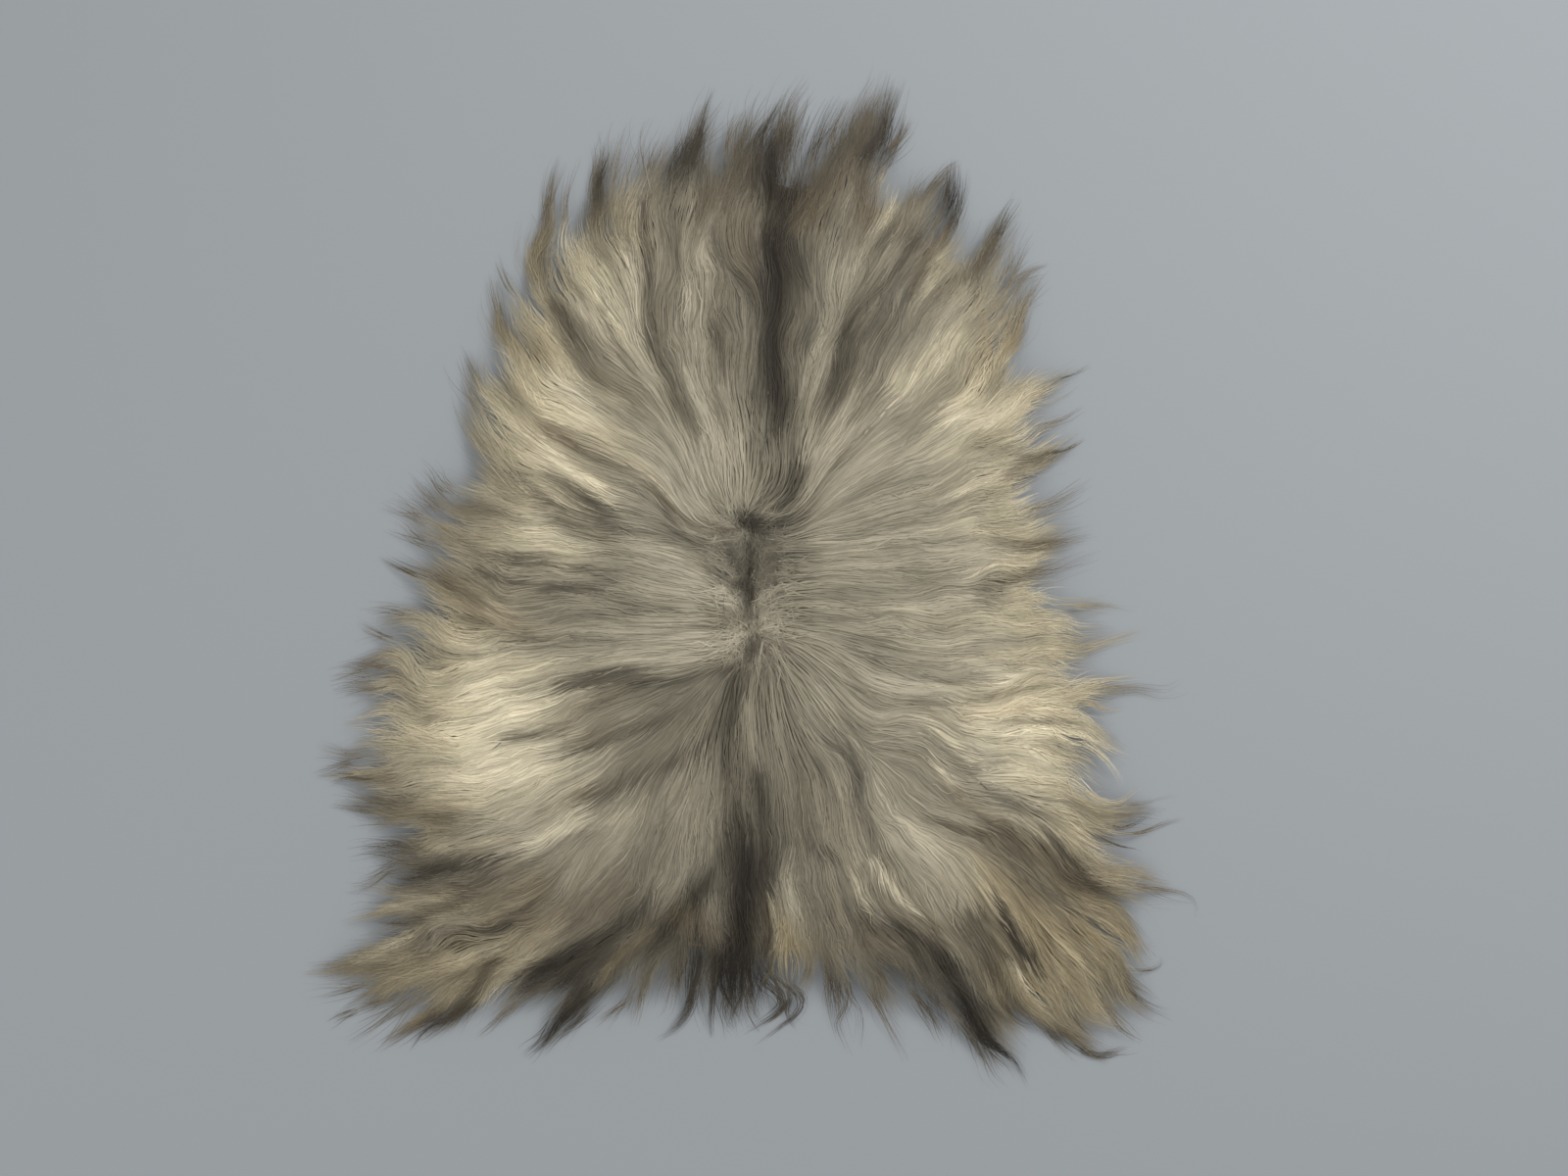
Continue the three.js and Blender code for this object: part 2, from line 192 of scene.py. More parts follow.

# Where the wool is lighter or darker than its ground: a row per patch or streak,
# broad ones first. Rows are partly the wool's own colour and partly painted light:
# painted highlights along the crests of locks, painted shadow in the gaps and lines
# between locks, and painted shade down the parting and in the hole of the whorl.
# tone, half width, strength, then the line that it follows.
PATCHES = """
light 70 .55 | 860,560 960,560 1050,560
light 60 .5 | 880,480 980,480 1050,470
light 60 .5 | 860,620 960,640 1060,660
sand 40 .6 | 990,300 1020,360 1040,420
sand 50 .5 | 1030,520 1060,600 1080,680
sand 36 .6 | 960,410 1010,400 1060,400
light 40 .5 | 905,455 950,440 1010,440
cream 34 .75 | 1000,722 1060,735 1110,760
cream 24 .6 | 1040,770 1085,795 1125,815
sand 34 .55 | 1060,840 1110,860 1150,880
light 40 .5 | 930,730 980,740 1020,760
light 34 .5 | 900,830 950,870 990,890
light 30 .45 | 830,700 850,720 870,760
light 34 .5 | 690,600 720,610 740,615
light 34 .45 | 690,655 720,655 745,655
light 34 .45 | 640,560 680,570 710,580
light 30 .55 | 735,440 742,480 740,515
light 40 .4 | 680,470 660,500 680,530
sand 44 .7 | 520,350 560,400 610,440
cream 26 .6 | 545,375 575,405 605,430
sand 34 .6 | 500,420 540,455 600,495
cream 26 .75 | 585,240 600,270 612,300
cream 26 .75 | 600,255 628,300 645,350
sand 30 .6 | 530,320 545,350 570,380
cream 26 .6 | 500,535 540,545 585,555
sand 30 .5 | 470,545 510,560 560,562
cream 58 .85 | 460,660 500,700 500,740
cream 48 .8 | 540,700 540,740 560,775
bright 26 .6 | 440,745 480,755 530,735
bright 24 .6 | 430,785 500,790 560,780
bright 20 .5 | 470,690 500,715 540,715
cream 22 .6 | 470,820 520,825 570,812
sand 30 .45 | 380,735 420,750 440,780
mid 40 .7 | 520,590 580,600 640,610
grey 34 .5 | 520,600 560,605 620,620
mid 36 .6 | 560,650 620,660 680,670
grey 40 .6 | 600,740 660,740 720,730
grey 46 .55 | 560,880 640,870 700,860
mid 40 .6 | 680,830 690,860 690,890
grey 30 .6 | 440,860 480,860 520,850
brown 36 .7 | 430,890 480,900 540,930
tan 30 .55 | 380,1000 430,975 480,960
tan 26 .6 | 440,1020 480,1000 520,988
brown 30 .5 | 540,948 590,930 640,915
slate 24 .6 | 600,960 640,940 680,915
sand 22 .6 | 500,1020 530,990 560,965
grey 40 .5 | 670,260 672,320 680,380
grey 40 .6 | 690,200 700,240 690,290
grey 36 .6 | 750,320 752,360 748,400
brown 40 .7 | 745,200 750,235 760,265
slate 34 .6 | 760,140 770,170 770,210
grey 34 .7 | 868,385 892,340 924,280
slate 19 .85 | 841,412 859,387 878,357 896,320 908,287 926,256
brown 44 .7 | 830,200 860,215 885,230
slate 30 .5 | 900,260 930,250 955,230
brown 34 .6 | 850,150 870,160 890,180
light 20 .6 | 925,240 905,270 895,300
light 18 .5 | 862,250 854,280 850,300
light 14 .5 | 846,345 834,372 828,392
light 20 .6 | 712,240 706,290 712,340
light 18 .5 | 716,350 722,390 728,420
sand 22 .55 | 968,250 975,290 965,315
light 18 .4 | 985,300 960,330 945,355
sand 18 .5 | 635,190 640,215 632,240
sand 12 .6 | 908,178 914,196 914,212
grey 40 .5 | 780,700 790,760 800,820
grey 40 .5 | 830,800 840,850 850,880
light 22 .6 | 803,880 806,920 812,950
light 20 .5 | 880,860 878,890 884,920
light 26 .55 | 925,820 950,850 975,880
brown 34 .6 | 880,950 920,960 960,960
tan 40 .75 | 1030,900 1070,940 1110,960
tan 44 .75 | 1070,980 1110,1020 1150,1030
tan 26 .6 | 1120,930 1150,950 1170,960
brown 30 .6 | 1060,890 1100,905 1135,915
tan 22 .6 | 1020,990 1050,1020 1090,1050
sand 14 .6 | 1015,960 1040,1000 1070,1040
brown 22 .5 | 830,960 850,980 860,1000
tan 16 .5 | 785,930 796,955 800,985
tan 14 .5 | 815,960 812,985 806,1000
slate 21 .75 | 764,556 763,600 762,648
slate 18 .5 | 747,700 746,750 748,800
slate 26 .5 | 752,790 756,840 762,890
dark 24 .9 | 796,210 794,250 790,300 788,350 788,400 784,440
dark 16 .6 | 812,190 800,220 794,250
black 17 .8 | 786,245 794,272 792,310
black 12 .7 | 787,330 789,370 790,410
dark 12 .7 | 805,400 798,425 790,440
slate 18 .6 | 782,450 788,480 792,500
dark 15 .8 | 812,255 818,285 812,320 814,345
dark 10 .5 | 815,330 812,350 810,375
slate 10 .6 | 818,300 820,330 816,360
dark 7 .85 | 750,690 747,730 745,780 747,820 750,860
slate 16 .55 | 748,760 748,820 756,870
dark 16 .85 | 754,840 760,870 762,900 760,950
deep 24 .9 | 760,905 758,945 756,985
black 15 .9 | 762,868 760,905 758,950 752,995
black 14 .85 | 738,978 752,985 770,992
deep 9 .85 | 774,790 779,840 782,880 784,930 781,978
cream 3 .6 | 788,915 791,940 795,962
tan 7 .6 | 802,944 806,965 806,990
light 14 .5 | 806,905 814,930 822,950
deep 14 .7 | 716,965 722,980 735,985
black 16 .7 | 735,1000 755,1000 770,1000
dark 20 .7 | 700,960 690,985 690,1010
black 9 .95 | 759,530 766,533 774,533
deep 9 .6 | 762,526 768,535 776,540
deep 8 .7 | 816,474 813,492 804,508
slate 14 .5 | 792,500 800,512 806,520
dark 5 .8 | 767,556 766,580 766,612
deep 3 .9 | 767,580 766,612
deep 3 .85 | 763,614 764,626
deep 3 .85 | 771,628 772,641
deep 6 .8 | 762,655 764,668
deep 7 .7 | 772,650 776,662
dark 6 .75 | 765,664 756,676 745,685 720,684 700,686
dark 4 .7 | 740,556 752,575 757,600 758,622
dark 3.5 .7 | 728,540 740,541 750,543
dark 3.5 .65 | 680,515 690,535 700,548 712,556
dark 3 .6 | 728,583 745,600 752,608
slate 8 .6 | 730,628 738,632 746,636
light 12 .5 | 782,646 800,652 815,660
slate 10 .55 | 784,552 792,566 784,580
dark 6 .8 | 776,537 800,534 818,526 830,512 837,497
dark 9 .8 | 800,512 812,498 822,478
dark 3.5 .75 | 837,497 846,482 858,468
brown 4 .6 | 856,470 872,452 890,436
slate 6 .6 | 740,543 722,540 704,536 690,524 678,506 664,492
dark 4 .6 | 700,548 688,535 678,515
black 20 .8 | 700,165 708,145 716,120
dark 12 .7 | 690,185 700,170 708,150
dark 24 .75 | 770,160 782,130 795,110
black 15 .8 | 784,195 786,170 792,140
black 13 .75 | 818,182 812,198 804,214
dark 30 .6 | 870,130 890,110 905,90
black 13 .85 | 885,155 898,148 908,130
dark 18 .7 | 915,150 912,120 914,95
black 12 .85 | 966,180 970,200 976,222
dark 16 .7 | 955,235 966,225 974,210
dark 12 .6 | 940,195 955,185 968,172
slate 8 .7 | 935,255 945,262 930,290 915,315
dark 9 .85 | 935,240 912,280 888,306 872,320 862,345
slate 9 .7 | 872,360 862,385 850,410 840,425
dark 6 .6 | 860,340 857,365 846,392 832,415
dark 5 .6 | 925,300 905,345 880,395
slate 6 .6 | 940,300 925,340 900,395 870,430
slate 5 .6 | 850,330 840,360 826,392
dark 9 .6 | 990,285 1008,262 1022,235
slate 10 .6 | 1012,250 1028,222 1040,205
slate 8 .5 | 1030,300 1040,285 1060,275
brown 8 .6 | 1000,350 1020,335 1030,310
brown 6 .55 | 985,380 1005,360 1020,345
dark 6 .75 | 728,235 730,252 742,268 756,280 768,298
slate 6 .6 | 735,320 732,345 742,372
slate 5 .6 | 730,300 724,320 728,345
dark 5 .7 | 657,205 657,230 661,260 662,300
slate 6 .65 | 684,215 686,245 694,272
slate 11 .75 | 659,310 661,345 677,384 700,424
slate 6 .6 | 680,395 695,410 715,440
brown 9 .45 | 560,215 558,245 550,275
dark 5 .6 | 552,262 556,290 566,312
dark 14 .7 | 600,222 610,208 614,190
dark 6 .7 | 612,190 618,168 622,150
brown 14 .6 | 604,215 610,235 606,255
slate 9 .75 | 566,310 580,345 596,375 612,395
slate 8 .7 | 577,310 592,338 612,368 640,398 660,408
brown 7 .55 | 590,300 604,330 618,352
brown 10 .5 | 614,385 640,400 655,415
slate 5 .6 | 622,335 640,370 660,392
brown 9 .5 | 520,400 545,425 580,445 620,462
brown 7 .6 | 556,440 600,462 640,480
brown 6 .7 | 483,1006 468,1028 446,1039 428,1058
slate 5 .6 | 600,465 625,482 655,490
brown 9 .5 | 512,350 516,380 525,405
brown 5 .5 | 540,345 560,375 572,395
dark 3.5 .8 | 520,480 545,500 560,512 576,520
slate 11 .75 | 562,482 590,501 612,525
slate 8 .5 | 575,528 600,540 625,550
dark 9 .7 | 600,508 618,522 628,540
brown 8 .6 | 480,470 510,490 550,515
brown 10 .55 | 470,515 500,520 530,525
dark 7 .7 | 512,576 535,572 560,578
dark 4 .85 | 486,580 505,592 535,596 565,600 610,600
slate 6 .7 | 588,580 606,583 620,592
slate 5 .65 | 480,562 500,570 520,577
brown 12 .75 | 450,590 470,602 490,615
brown 7 .6 | 400,570 430,585 455,597
slate 5 .6 | 505,612 530,610 560,606 600,604
slate 5 .65 | 560,632 600,629 650,626
brown 12 .65 | 480,628 510,636 540,648
slate 8 .6 | 525,648 550,655 580,650
slate 4 .5 | 636,612 655,620 690,622
slate 3.5 .55 | 690,638 715,641 745,642
dark 7 .8 | 570,697 600,690 635,686 668,694
dark 6 .8 | 600,696 640,698 670,700 705,692 740,682
slate 14 .5 | 610,705 660,708 700,705
slate 12 .5 | 660,740 700,735 735,725
dark 4 .65 | 520,755 545,750 575,748
slate 5 .6 | 580,770 620,752 655,735 700,720
dark 5 .6 | 560,770 600,765 640,750 680,735
dark 6 .6 | 740,745 700,770 660,795
dark 9 .75 | 690,775 655,790 620,808 600,814
brown 8 .6 | 600,806 575,816 550,830
slate 5 .6 | 640,800 600,830 560,845
slate 5 .55 | 600,850 560,868 530,885
brown 9 .55 | 400,820 430,832 460,835
slate 8 .5 | 360,812 390,818 420,812
brown 7 .6 | 345,795 365,794 400,795
brown 8 .6 | 355,678 375,680 400,690
brown 10 .6 | 405,690 425,715 440,735
brown 8 .6 | 400,640 430,655 450,680
slate 7 .6 | 340,770 360,775 390,768
brown 8 .4 | 560,740 580,725 620,715
deep 6 .8 | 402,902 424,895 454,887 498,882
slate 9 .4 | 380,886 410,886 440,890
dark 9 .7 | 430,890 470,880 510,880
dark 8 .7 | 440,915 470,905 500,895
slate 9 .6 | 380,862 410,862 430,870
deep 6 .9 | 439,953 457,948 490,951 520,939
slate 9 .6 | 428,966 438,958 450,956
bright 4 .7 | 391,926 421,922 446,918
bright 6 .5 | 446,939 456,933 466,929
cream 10 .6 | 472,977 488,974 506,970
bright 8 .75 | 536,982 512,1006 498,1022
cream 4 .6 | 410,959 388,970 350,982
dark 5 .7 | 400,940 420,942 440,935
dark 5 .6 | 430,935 460,925 500,930
dark 5 .7 | 540,925 510,945 500,950
dark 7 .7 | 432,972 440,960 450,952
dark 8 .75 | 470,1030 480,1015 490,1000 500,985
brown 10 .6 | 460,1000 480,990 500,980
sand 10 .7 | 415,1040 440,1025 460,1012
sand 8 .6 | 400,1005 440,992 480,985
sand 9 .6 | 515,1005 535,985 555,970
sand 7 .6 | 395,925 430,922 460,912
sand 7 .6 | 440,935 465,930 485,925
dark 12 .75 | 440,1045 462,1040 480,1030
dark 12 .6 | 405,1060 425,1050 440,1040
dark 14 .8 | 530,1010 545,995 565,985
black 15 .8 | 575,1005 600,990 625,975
dark 15 .75 | 651,937 611,966 571,984 538,1002
black 8 .7 | 593,964 570,982 545,995
black 14 .85 | 655,965 680,948 700,925 718,905
dark 12 .7 | 720,900 735,880 745,860
dark 16 .8 | 545,1070 575,1040 600,1015
black 9 .7 | 560,1050 580,1035 595,1015
brown 8 .6 | 620,990 640,970 662,955
tan 5 .6 | 615,998 635,975 660,952
slate 10 .6 | 660,980 680,970 700,955
brown 14 .6 | 690,930 710,940 725,950
slate 8 .5 | 845,760 865,766 878,780
dark 5 .65 | 872,775 880,795 874,820
slate 6 .55 | 866,680 874,700 888,716
slate 5 .5 | 860,740 890,742 915,735
brown 5 .5 | 940,718 965,735 985,755
dark 5 .7 | 826,864 846,871 862,884
slate 5 .6 | 862,884 866,905 872,922
slate 7 .5 | 885,835 895,860 900,880
brown 6 .5 | 905,880 915,905 925,920
bright 5 .75 | 896,882 904,900 916,914 930,928
cream 5 .6 | 870,880 874,902 884,920
cream 4 .6 | 950,780 968,798 985,816 1005,828 1030,836
cream 5 .5 | 925,832 940,850 955,866
slate 5 .55 | 930,770 955,790 975,812
brown 6 .55 | 955,840 1000,850 1030,862
dark 9 .65 | 1012,852 1036,862 1052,878
dark 7 .75 | 1060,860 1080,885 1105,900 1135,912
brown 12 .5 | 1000,860 1040,890 1060,920
slate 5 .6 | 985,818 1010,840 1040,850
dark 10 .7 | 880,940 905,945 925,950
dark 7 .7 | 920,945 928,968 945,990
dark 12 .7 | 900,985 930,1000 955,1025
black 19 .85 | 955,975 970,995 985,1020
black 9 .85 | 980,1022 994,1048 1012,1072
black 9 .85 | 1015,1070 1032,1082 1046,1102
dark 10 .75 | 985,945 1000,965 1012,985
black 6 .85 | 1018,918 1026,942 1040,965 1058,982
dark 6 .75 | 992,935 1004,958 1018,970
dark 8 .7 | 1012,985 1025,1010 1040,1035
dark 8 .75 | 1040,1035 1062,1050 1090,1062 1125,1078
dark 5 .6 | 1140,975 1152,1000 1162,1015
dark 5 .8 | 1070,850 1095,880 1112,898 1134,916
dark 6 .75 | 1000,930 1016,960 1034,985 1062,1000
deep 5 .85 | 1022,925 1034,955 1046,978 1060,990
dark 4 .6 | 1080,930 1100,960 1110,985
dark 3.5 .6 | 1052,960 1070,980 1082,1000
bright 3 .6 | 1034,985 1050,1010 1066,1026
bright 3 .6 | 1050,990 1060,1005 1066,1020
sand 5 .55 | 1080,965 1100,990 1118,1016
cream 9 .6 | 1092,845 1108,858 1124,866
dark 4 .6 | 1124,990 1132,1010 1146,1022
dark 3.5 .6 | 1092,1006 1100,1030 1112,1050
slate 6 .5 | 1060,905 1090,925 1120,935
slate 10 .5 | 1020,870 1050,895 1080,925
brown 6 .6 | 1075,990 1090,1015 1110,1040
dark 6 .6 | 1150,840 1165,838 1175,832
dark 4 .7 | 1120,855 1140,862 1160,868
sand 8 .6 | 1105,820 1130,822 1150,815
bright 9 .55 | 1060,745 1095,746 1120,758
bright 7 .5 | 1060,772 1085,785 1105,802
bright 10 .5 | 965,422 1000,425 1030,408
bright 8 .5 | 925,395 950,375 975,352
bright 9 .5 | 560,385 585,400 600,420
cream 6 .5 | 520,452 560,472 600,494 632,516
bright 9 .6 | 640,265 644,300 645,330
bright 7 .5 | 598,262 612,290 626,320
bright 8 .5 | 545,545 575,550 590,556
bright 8 .6 | 540,862 565,848 592,836
cream 6 .5 | 620,838 640,835 660,825
slate 4 .5 | 1000,708 1020,716 1040,710
brown 5 .5 | 1090,712 1115,718 1140,720
dark 3.5 .6 | 1040,465 1060,470 1080,460
brown 5 .35 | 1000,445 1030,440 1060,425
brown 5 .35 | 970,455 1000,450 1030,460
brown 5 .5 | 1060,560 1085,556 1110,550
brown 5 .4 | 950,505 975,490 1000,478
slate 4 .4 | 930,515 960,505 990,490
cream 22 .6 | 505,395 520,430 545,455
sand 30 .5 | 520,340 545,375 570,400
light 24 .6 | 716,445 726,490 738,518
light 22 .5 | 640,505 680,530 720,548
light 20 .5 | 848,425 846,465 848,500
cream 26 .7 | 395,690 425,700 450,720
cream 26 .7 | 385,765 420,765 450,775
sand 24 .55 | 400,830 430,835 470,850
sand 24 .5 | 440,620 480,625 520,625
light 26 .5 | 440,530 480,540 520,545
cream 24 .65 | 1050,620 1080,640 1095,670
light 20 .5 | 950,640 1000,632 1040,630
cream 26 .7 | 1075,700 1105,710 1130,735
cream 22 .6 | 1095,750 1110,780 1120,815
sand 26 .6 | 1120,840 1140,880 1150,900
tan 26 .6 | 1130,935 1145,970 1140,1010
sand 24 .6 | 1090,1000 1110,1025 1130,1045
tan 18 .6 | 1015,1035 1040,1045 1060,1050
cream 22 .65 | 1005,395 1030,390 1055,395
cream 22 .6 | 1000,440 1020,450 1045,450
cream 20 .5 | 1000,520 1025,515 1045,520
light 18 .5 | 1000,575 1030,585 1060,590
light 18 .5 | 1000,850 1020,870 1040,885
light 20 .45 | 835,950 860,970 885,985
grey 26 .6 | 800,815 840,830 860,860
slate 20 .45 | 800,800 810,850 800,890
grey 22 .5 | 820,575 880,560 960,552
grey 16 .5 | 735,260 745,330 742,400
dark 10 .6 | 733,328 739,385 749,426
slate 12 .5 | 845,215 858,235 866,250
slate 12 .4 | 500,740 560,755 600,760
grey 16 .5 | 640,770 660,780 690,760
slate 14 .5 | 440,962 470,965 530,958
brown 3 .7 | 612,287 616,319 628,355 651,387 668,410
light 7 .65 | 636,293 642,329 648,355 668,400
light 7 .6 | 584,300 603,322 622,348
cream 10 .7 | 518,361 538,394 570,423
bright 6 .65 | 570,391 590,410 603,423
tan 9 .5 | 515,332 538,355 554,365
brown 5 .55 | 505,391 538,423 577,449 622,475 651,488
bright 5 .6 | 489,400 521,433 564,462 596,488 628,514
brown 3 .7 | 664,495 681,517 694,534 720,537 749,540
light 7 .55 | 700,300 710,329 716,378 720,420
bright 9 .55 | 1001,414 992,422 985,430
bright 4 .6 | 1017,428 1033,409 1054,398 1082,391
brown 5 .55 | 1028,486 1049,470 1073,462
light 10 .5 | 993,522 1020,510 1043,517
brown 6 .55 | 1020,552 1046,556 1073,553 1095,551
bright 4 .6 | 980,594 996,586 1014,576 1033,577
brown 6 .5 | 996,602 1033,591 1067,583
bright 7 .5 | 1016,692 1055,692 1094,680
bright 9 .55 | 1006,728 1039,720 1062,728
bright 7 .65 | 1042,751 1088,748 1117,764 1134,788
brown 3 .7 | 1029,735 1062,738 1094,736
brown 3 .6 | 990,715 1023,709 1042,705
cream 4 .65 | 990,731 1016,757 1042,783 1068,803 1088,832 1107,855
slate 6 .6 | 941,745 967,767 990,790 1016,810 1042,829
cream 2.5 .7 | 954,745 974,758 997,780
bright 3 .65 | 958,780 971,803 990,823 1006,836
brown 7 .65 | 967,800 997,829 1029,845 1055,868 1088,881 1104,897
dark 3.5 .7 | 1062,842 1081,868 1107,897
light 16 .45 | 902,816 941,855 985,886
light 13 .5 | 712,586 724,598 735,611
light 12 .5 | 698,662 725,658 748,655
dark 2.5 .5 | 692,640 716,639 740,639
brown 7 .55 | 594,754 606,748 618,742
cream 5 .75 | 905,189 914,199 911,213 902,226
brown 5 .75 | 972,234 951,253 939,281 929,302
cream 6 .6 | 960,262 951,280 945,302
brown 5 .7 | 1020,248 1003,265 976,284 951,302
light 7 .6 | 900,228 881,259 862,296 844,326
light 4.5 .6 | 840,335 826,375 820,400
light 2.5 .6 | 920,293 914,311 908,326
cream 13 .6 | 920,386 963,352 990,350
bright 9 .6 | 963,424 993,418 1009,428
tan 8 .6 | 1024,310 1030,335 1030,355
cream 22 .65 | 482,392 503,440 530,482 552,508
cream 18 .4 | 535,345 555,370 575,395
sand 18 .5 | 548,240 550,270 565,305
light 18 .4 | 615,350 640,385 665,410
light 18 .4 | 590,450 625,475 650,490
cream 20 .5 | 500,550 540,558 580,562
light 20 .5 | 728,470 728,510 722,545
light 18 .4 | 630,530 670,538 715,550
light 18 .3 | 735,395 742,410 745,430
light 18 .4 | 540,612 590,612 640,616
cream 22 .55 | 420,640 440,665 460,680
cream 26 .55 | 380,760 425,760 458,768
sand 22 .5 | 380,800 400,820 430,830
light 18 .4 | 520,835 545,828 565,820
light 18 .35 | 470,885 500,880 520,870
light 18 .4 | 570,870 600,862 640,850
sand 18 .5 | 420,1018 445,1010 470,1000
mid 18 .3 | 750,215 780,230 810,235
light 20 .5 | 835,500 860,480 880,450
light 18 .5 | 790,622 815,620 850,615
light 18 .4 | 900,580 930,580 960,582
cream 22 .5 | 950,640 1000,630 1060,640
cream 22 .5 | 960,520 1005,518 1040,520
cream 20 .6 | 975,465 1010,450 1045,430
sand 20 .5 | 1025,320 1030,350 1010,390
light 18 .4 | 945,305 960,280 980,265
cream 22 .6 | 1070,745 1100,755 1125,775
sand 22 .6 | 1120,930 1142,960 1148,1000
sand 20 .5 | 1080,1000 1100,1020 1115,1040
grey 18 .35 | 830,810 850,850 870,875
mid 10 .4 | 815,320 818,345 815,365
light 12 .4 | 705,626 725,626 745,624
light 12 .4 | 705,676 725,676 745,672
slate 14 .5 | 905,245 890,275 870,305
slate 10 .45 | 735,250 742,275 745,300
mid 6 .4 | 604,270 612,295 622,315
mid 10 .5 | 990,295 975,315 960,335
grey 9 .5 | 826,385 828,415 826,450
slate 9 .45 | 555,520 580,535 610,552
mid 12 .35 | 590,390 612,410 630,430
sand 10 .4 | 990,728 1015,724 1040,722
grey 14 .35 | 880,725 905,732 935,730
slate 10 .4 | 690,752 655,775 625,800
slate 9 .5 | 665,945 645,970 625,1000
grey 8 .4 | 440,960 455,950 475,940
light 18 .45 | 600,255 618,285 636,320
light 18 .4 | 700,470 720,500 735,520
light 18 .35 | 420,896 450,890 490,880
light 18 .35 | 840,570 880,566 930,560
mid 12 .35 | 960,300 975,320 990,335
cream 18 .4 | 1010,600 1050,610 1080,630
cream 18 .45 | 540,400 560,420 590,440
sand 18 .4 | 1090,960 1105,985 1120,1010
light 26 .5 | 735,440 742,480 745,515
light 26 .4 | 690,470 700,500 715,530
light 26 .4 | 820,600 880,610 940,620
light 22 .35 | 600,640 660,642 720,645
cream 18 .6 | 596,250 612,282 632,320
slate 18 .3 | 676,240 674,290 676,340
mid 18 .4 | 955,335 975,315 995,300
light 18 .35 | 560,620 600,620 640,622
cream 20 .5 | 550,385 575,405 600,430
cream 24 .5 | 1045,540 1060,600 1075,660
sand 24 .35 | 1070,930 1100,960 1130,990
cream 16 .5 | 385,765 425,762 460,768
cream 14 .45 | 408,655 435,662 460,672
cream 14 .45 | 392,695 415,705 440,715
sand 14 .4 | 380,790 395,805 420,815
cream 15 .45 | 498,388 516,410 536,430
cream 15 .45 | 492,488 515,500 540,515
sand 12 .4 | 540,255 546,275 556,300
sand 16 .35 | 430,530 460,545 500,550
sand 16 .35 | 440,600 480,615 510,630
light 14 .4 | 620,365 640,385 660,402
light 14 .35 | 600,462 625,475 645,490
light 14 .4 | 728,475 728,505 724,535
light 14 .35 | 640,532 680,540 715,552
light 12 .35 | 738,400 743,412 746,430
light 16 .45 | 830,515 850,492 872,468
light 14 .4 | 790,622 812,621 840,618
light 10 .35 | 792,682 796,700 800,715
light 12 .35 | 540,830 555,825 570,815
light 14 .3 | 645,860 665,850 685,835
sand 16 .5 | 395,1018 430,1014 465,1004
sand 16 .45 | 1000,350 1020,330 1035,310
cream 12 .45 | 1000,400 1018,388 1035,375
cream 12 .4 | 995,455 1015,446 1035,438
light 12 .35 | 940,305 955,290 970,275
cream 14 .5 | 1100,710 1120,706 1150,702
cream 15 .5 | 1085,755 1105,762 1125,772
cream 12 .35 | 1050,690 1080,684 1100,678
sand 15 .45 | 1135,930 1146,960 1146,995
sand 15 .5 | 1085,1005 1102,1028 1115,1045
mid 12 .4 | 940,462 962,453 985,440
grey 10 .35 | 840,580 880,572 930,560
mid 10 .35 | 940,556 970,558 1000,565
mid 12 .35 | 895,620 920,615 950,612
grey 10 .35 | 755,642 765,640 778,640
slate 10 .4 | 555,515 570,530 590,545
mid 12 .3 | 585,395 605,412 625,428
mid 16 .3 | 610,650 650,655 690,655
mid 12 .3 | 520,772 560,775 610,785
grey 16 .3 | 835,800 850,835 870,870
slate 10 .35 | 862,215 856,240 850,265
grey 10 .35 | 822,400 830,430 845,455
slate 10 .35 | 735,255 742,272 748,290
sand 12 .4 | 985,728 1010,724 1040,720
slate 12 .35 | 975,940 990,965 1005,990
slate 12 .4 | 660,950 640,980 620,1005
grey 12 .35 | 430,965 450,950 475,935
light 16 .5 | 742,455 744,480 746,510
cream 13 .5 | 600,240 615,262 628,290
bright 16 .4 | 440,770 490,785 540,782
"""
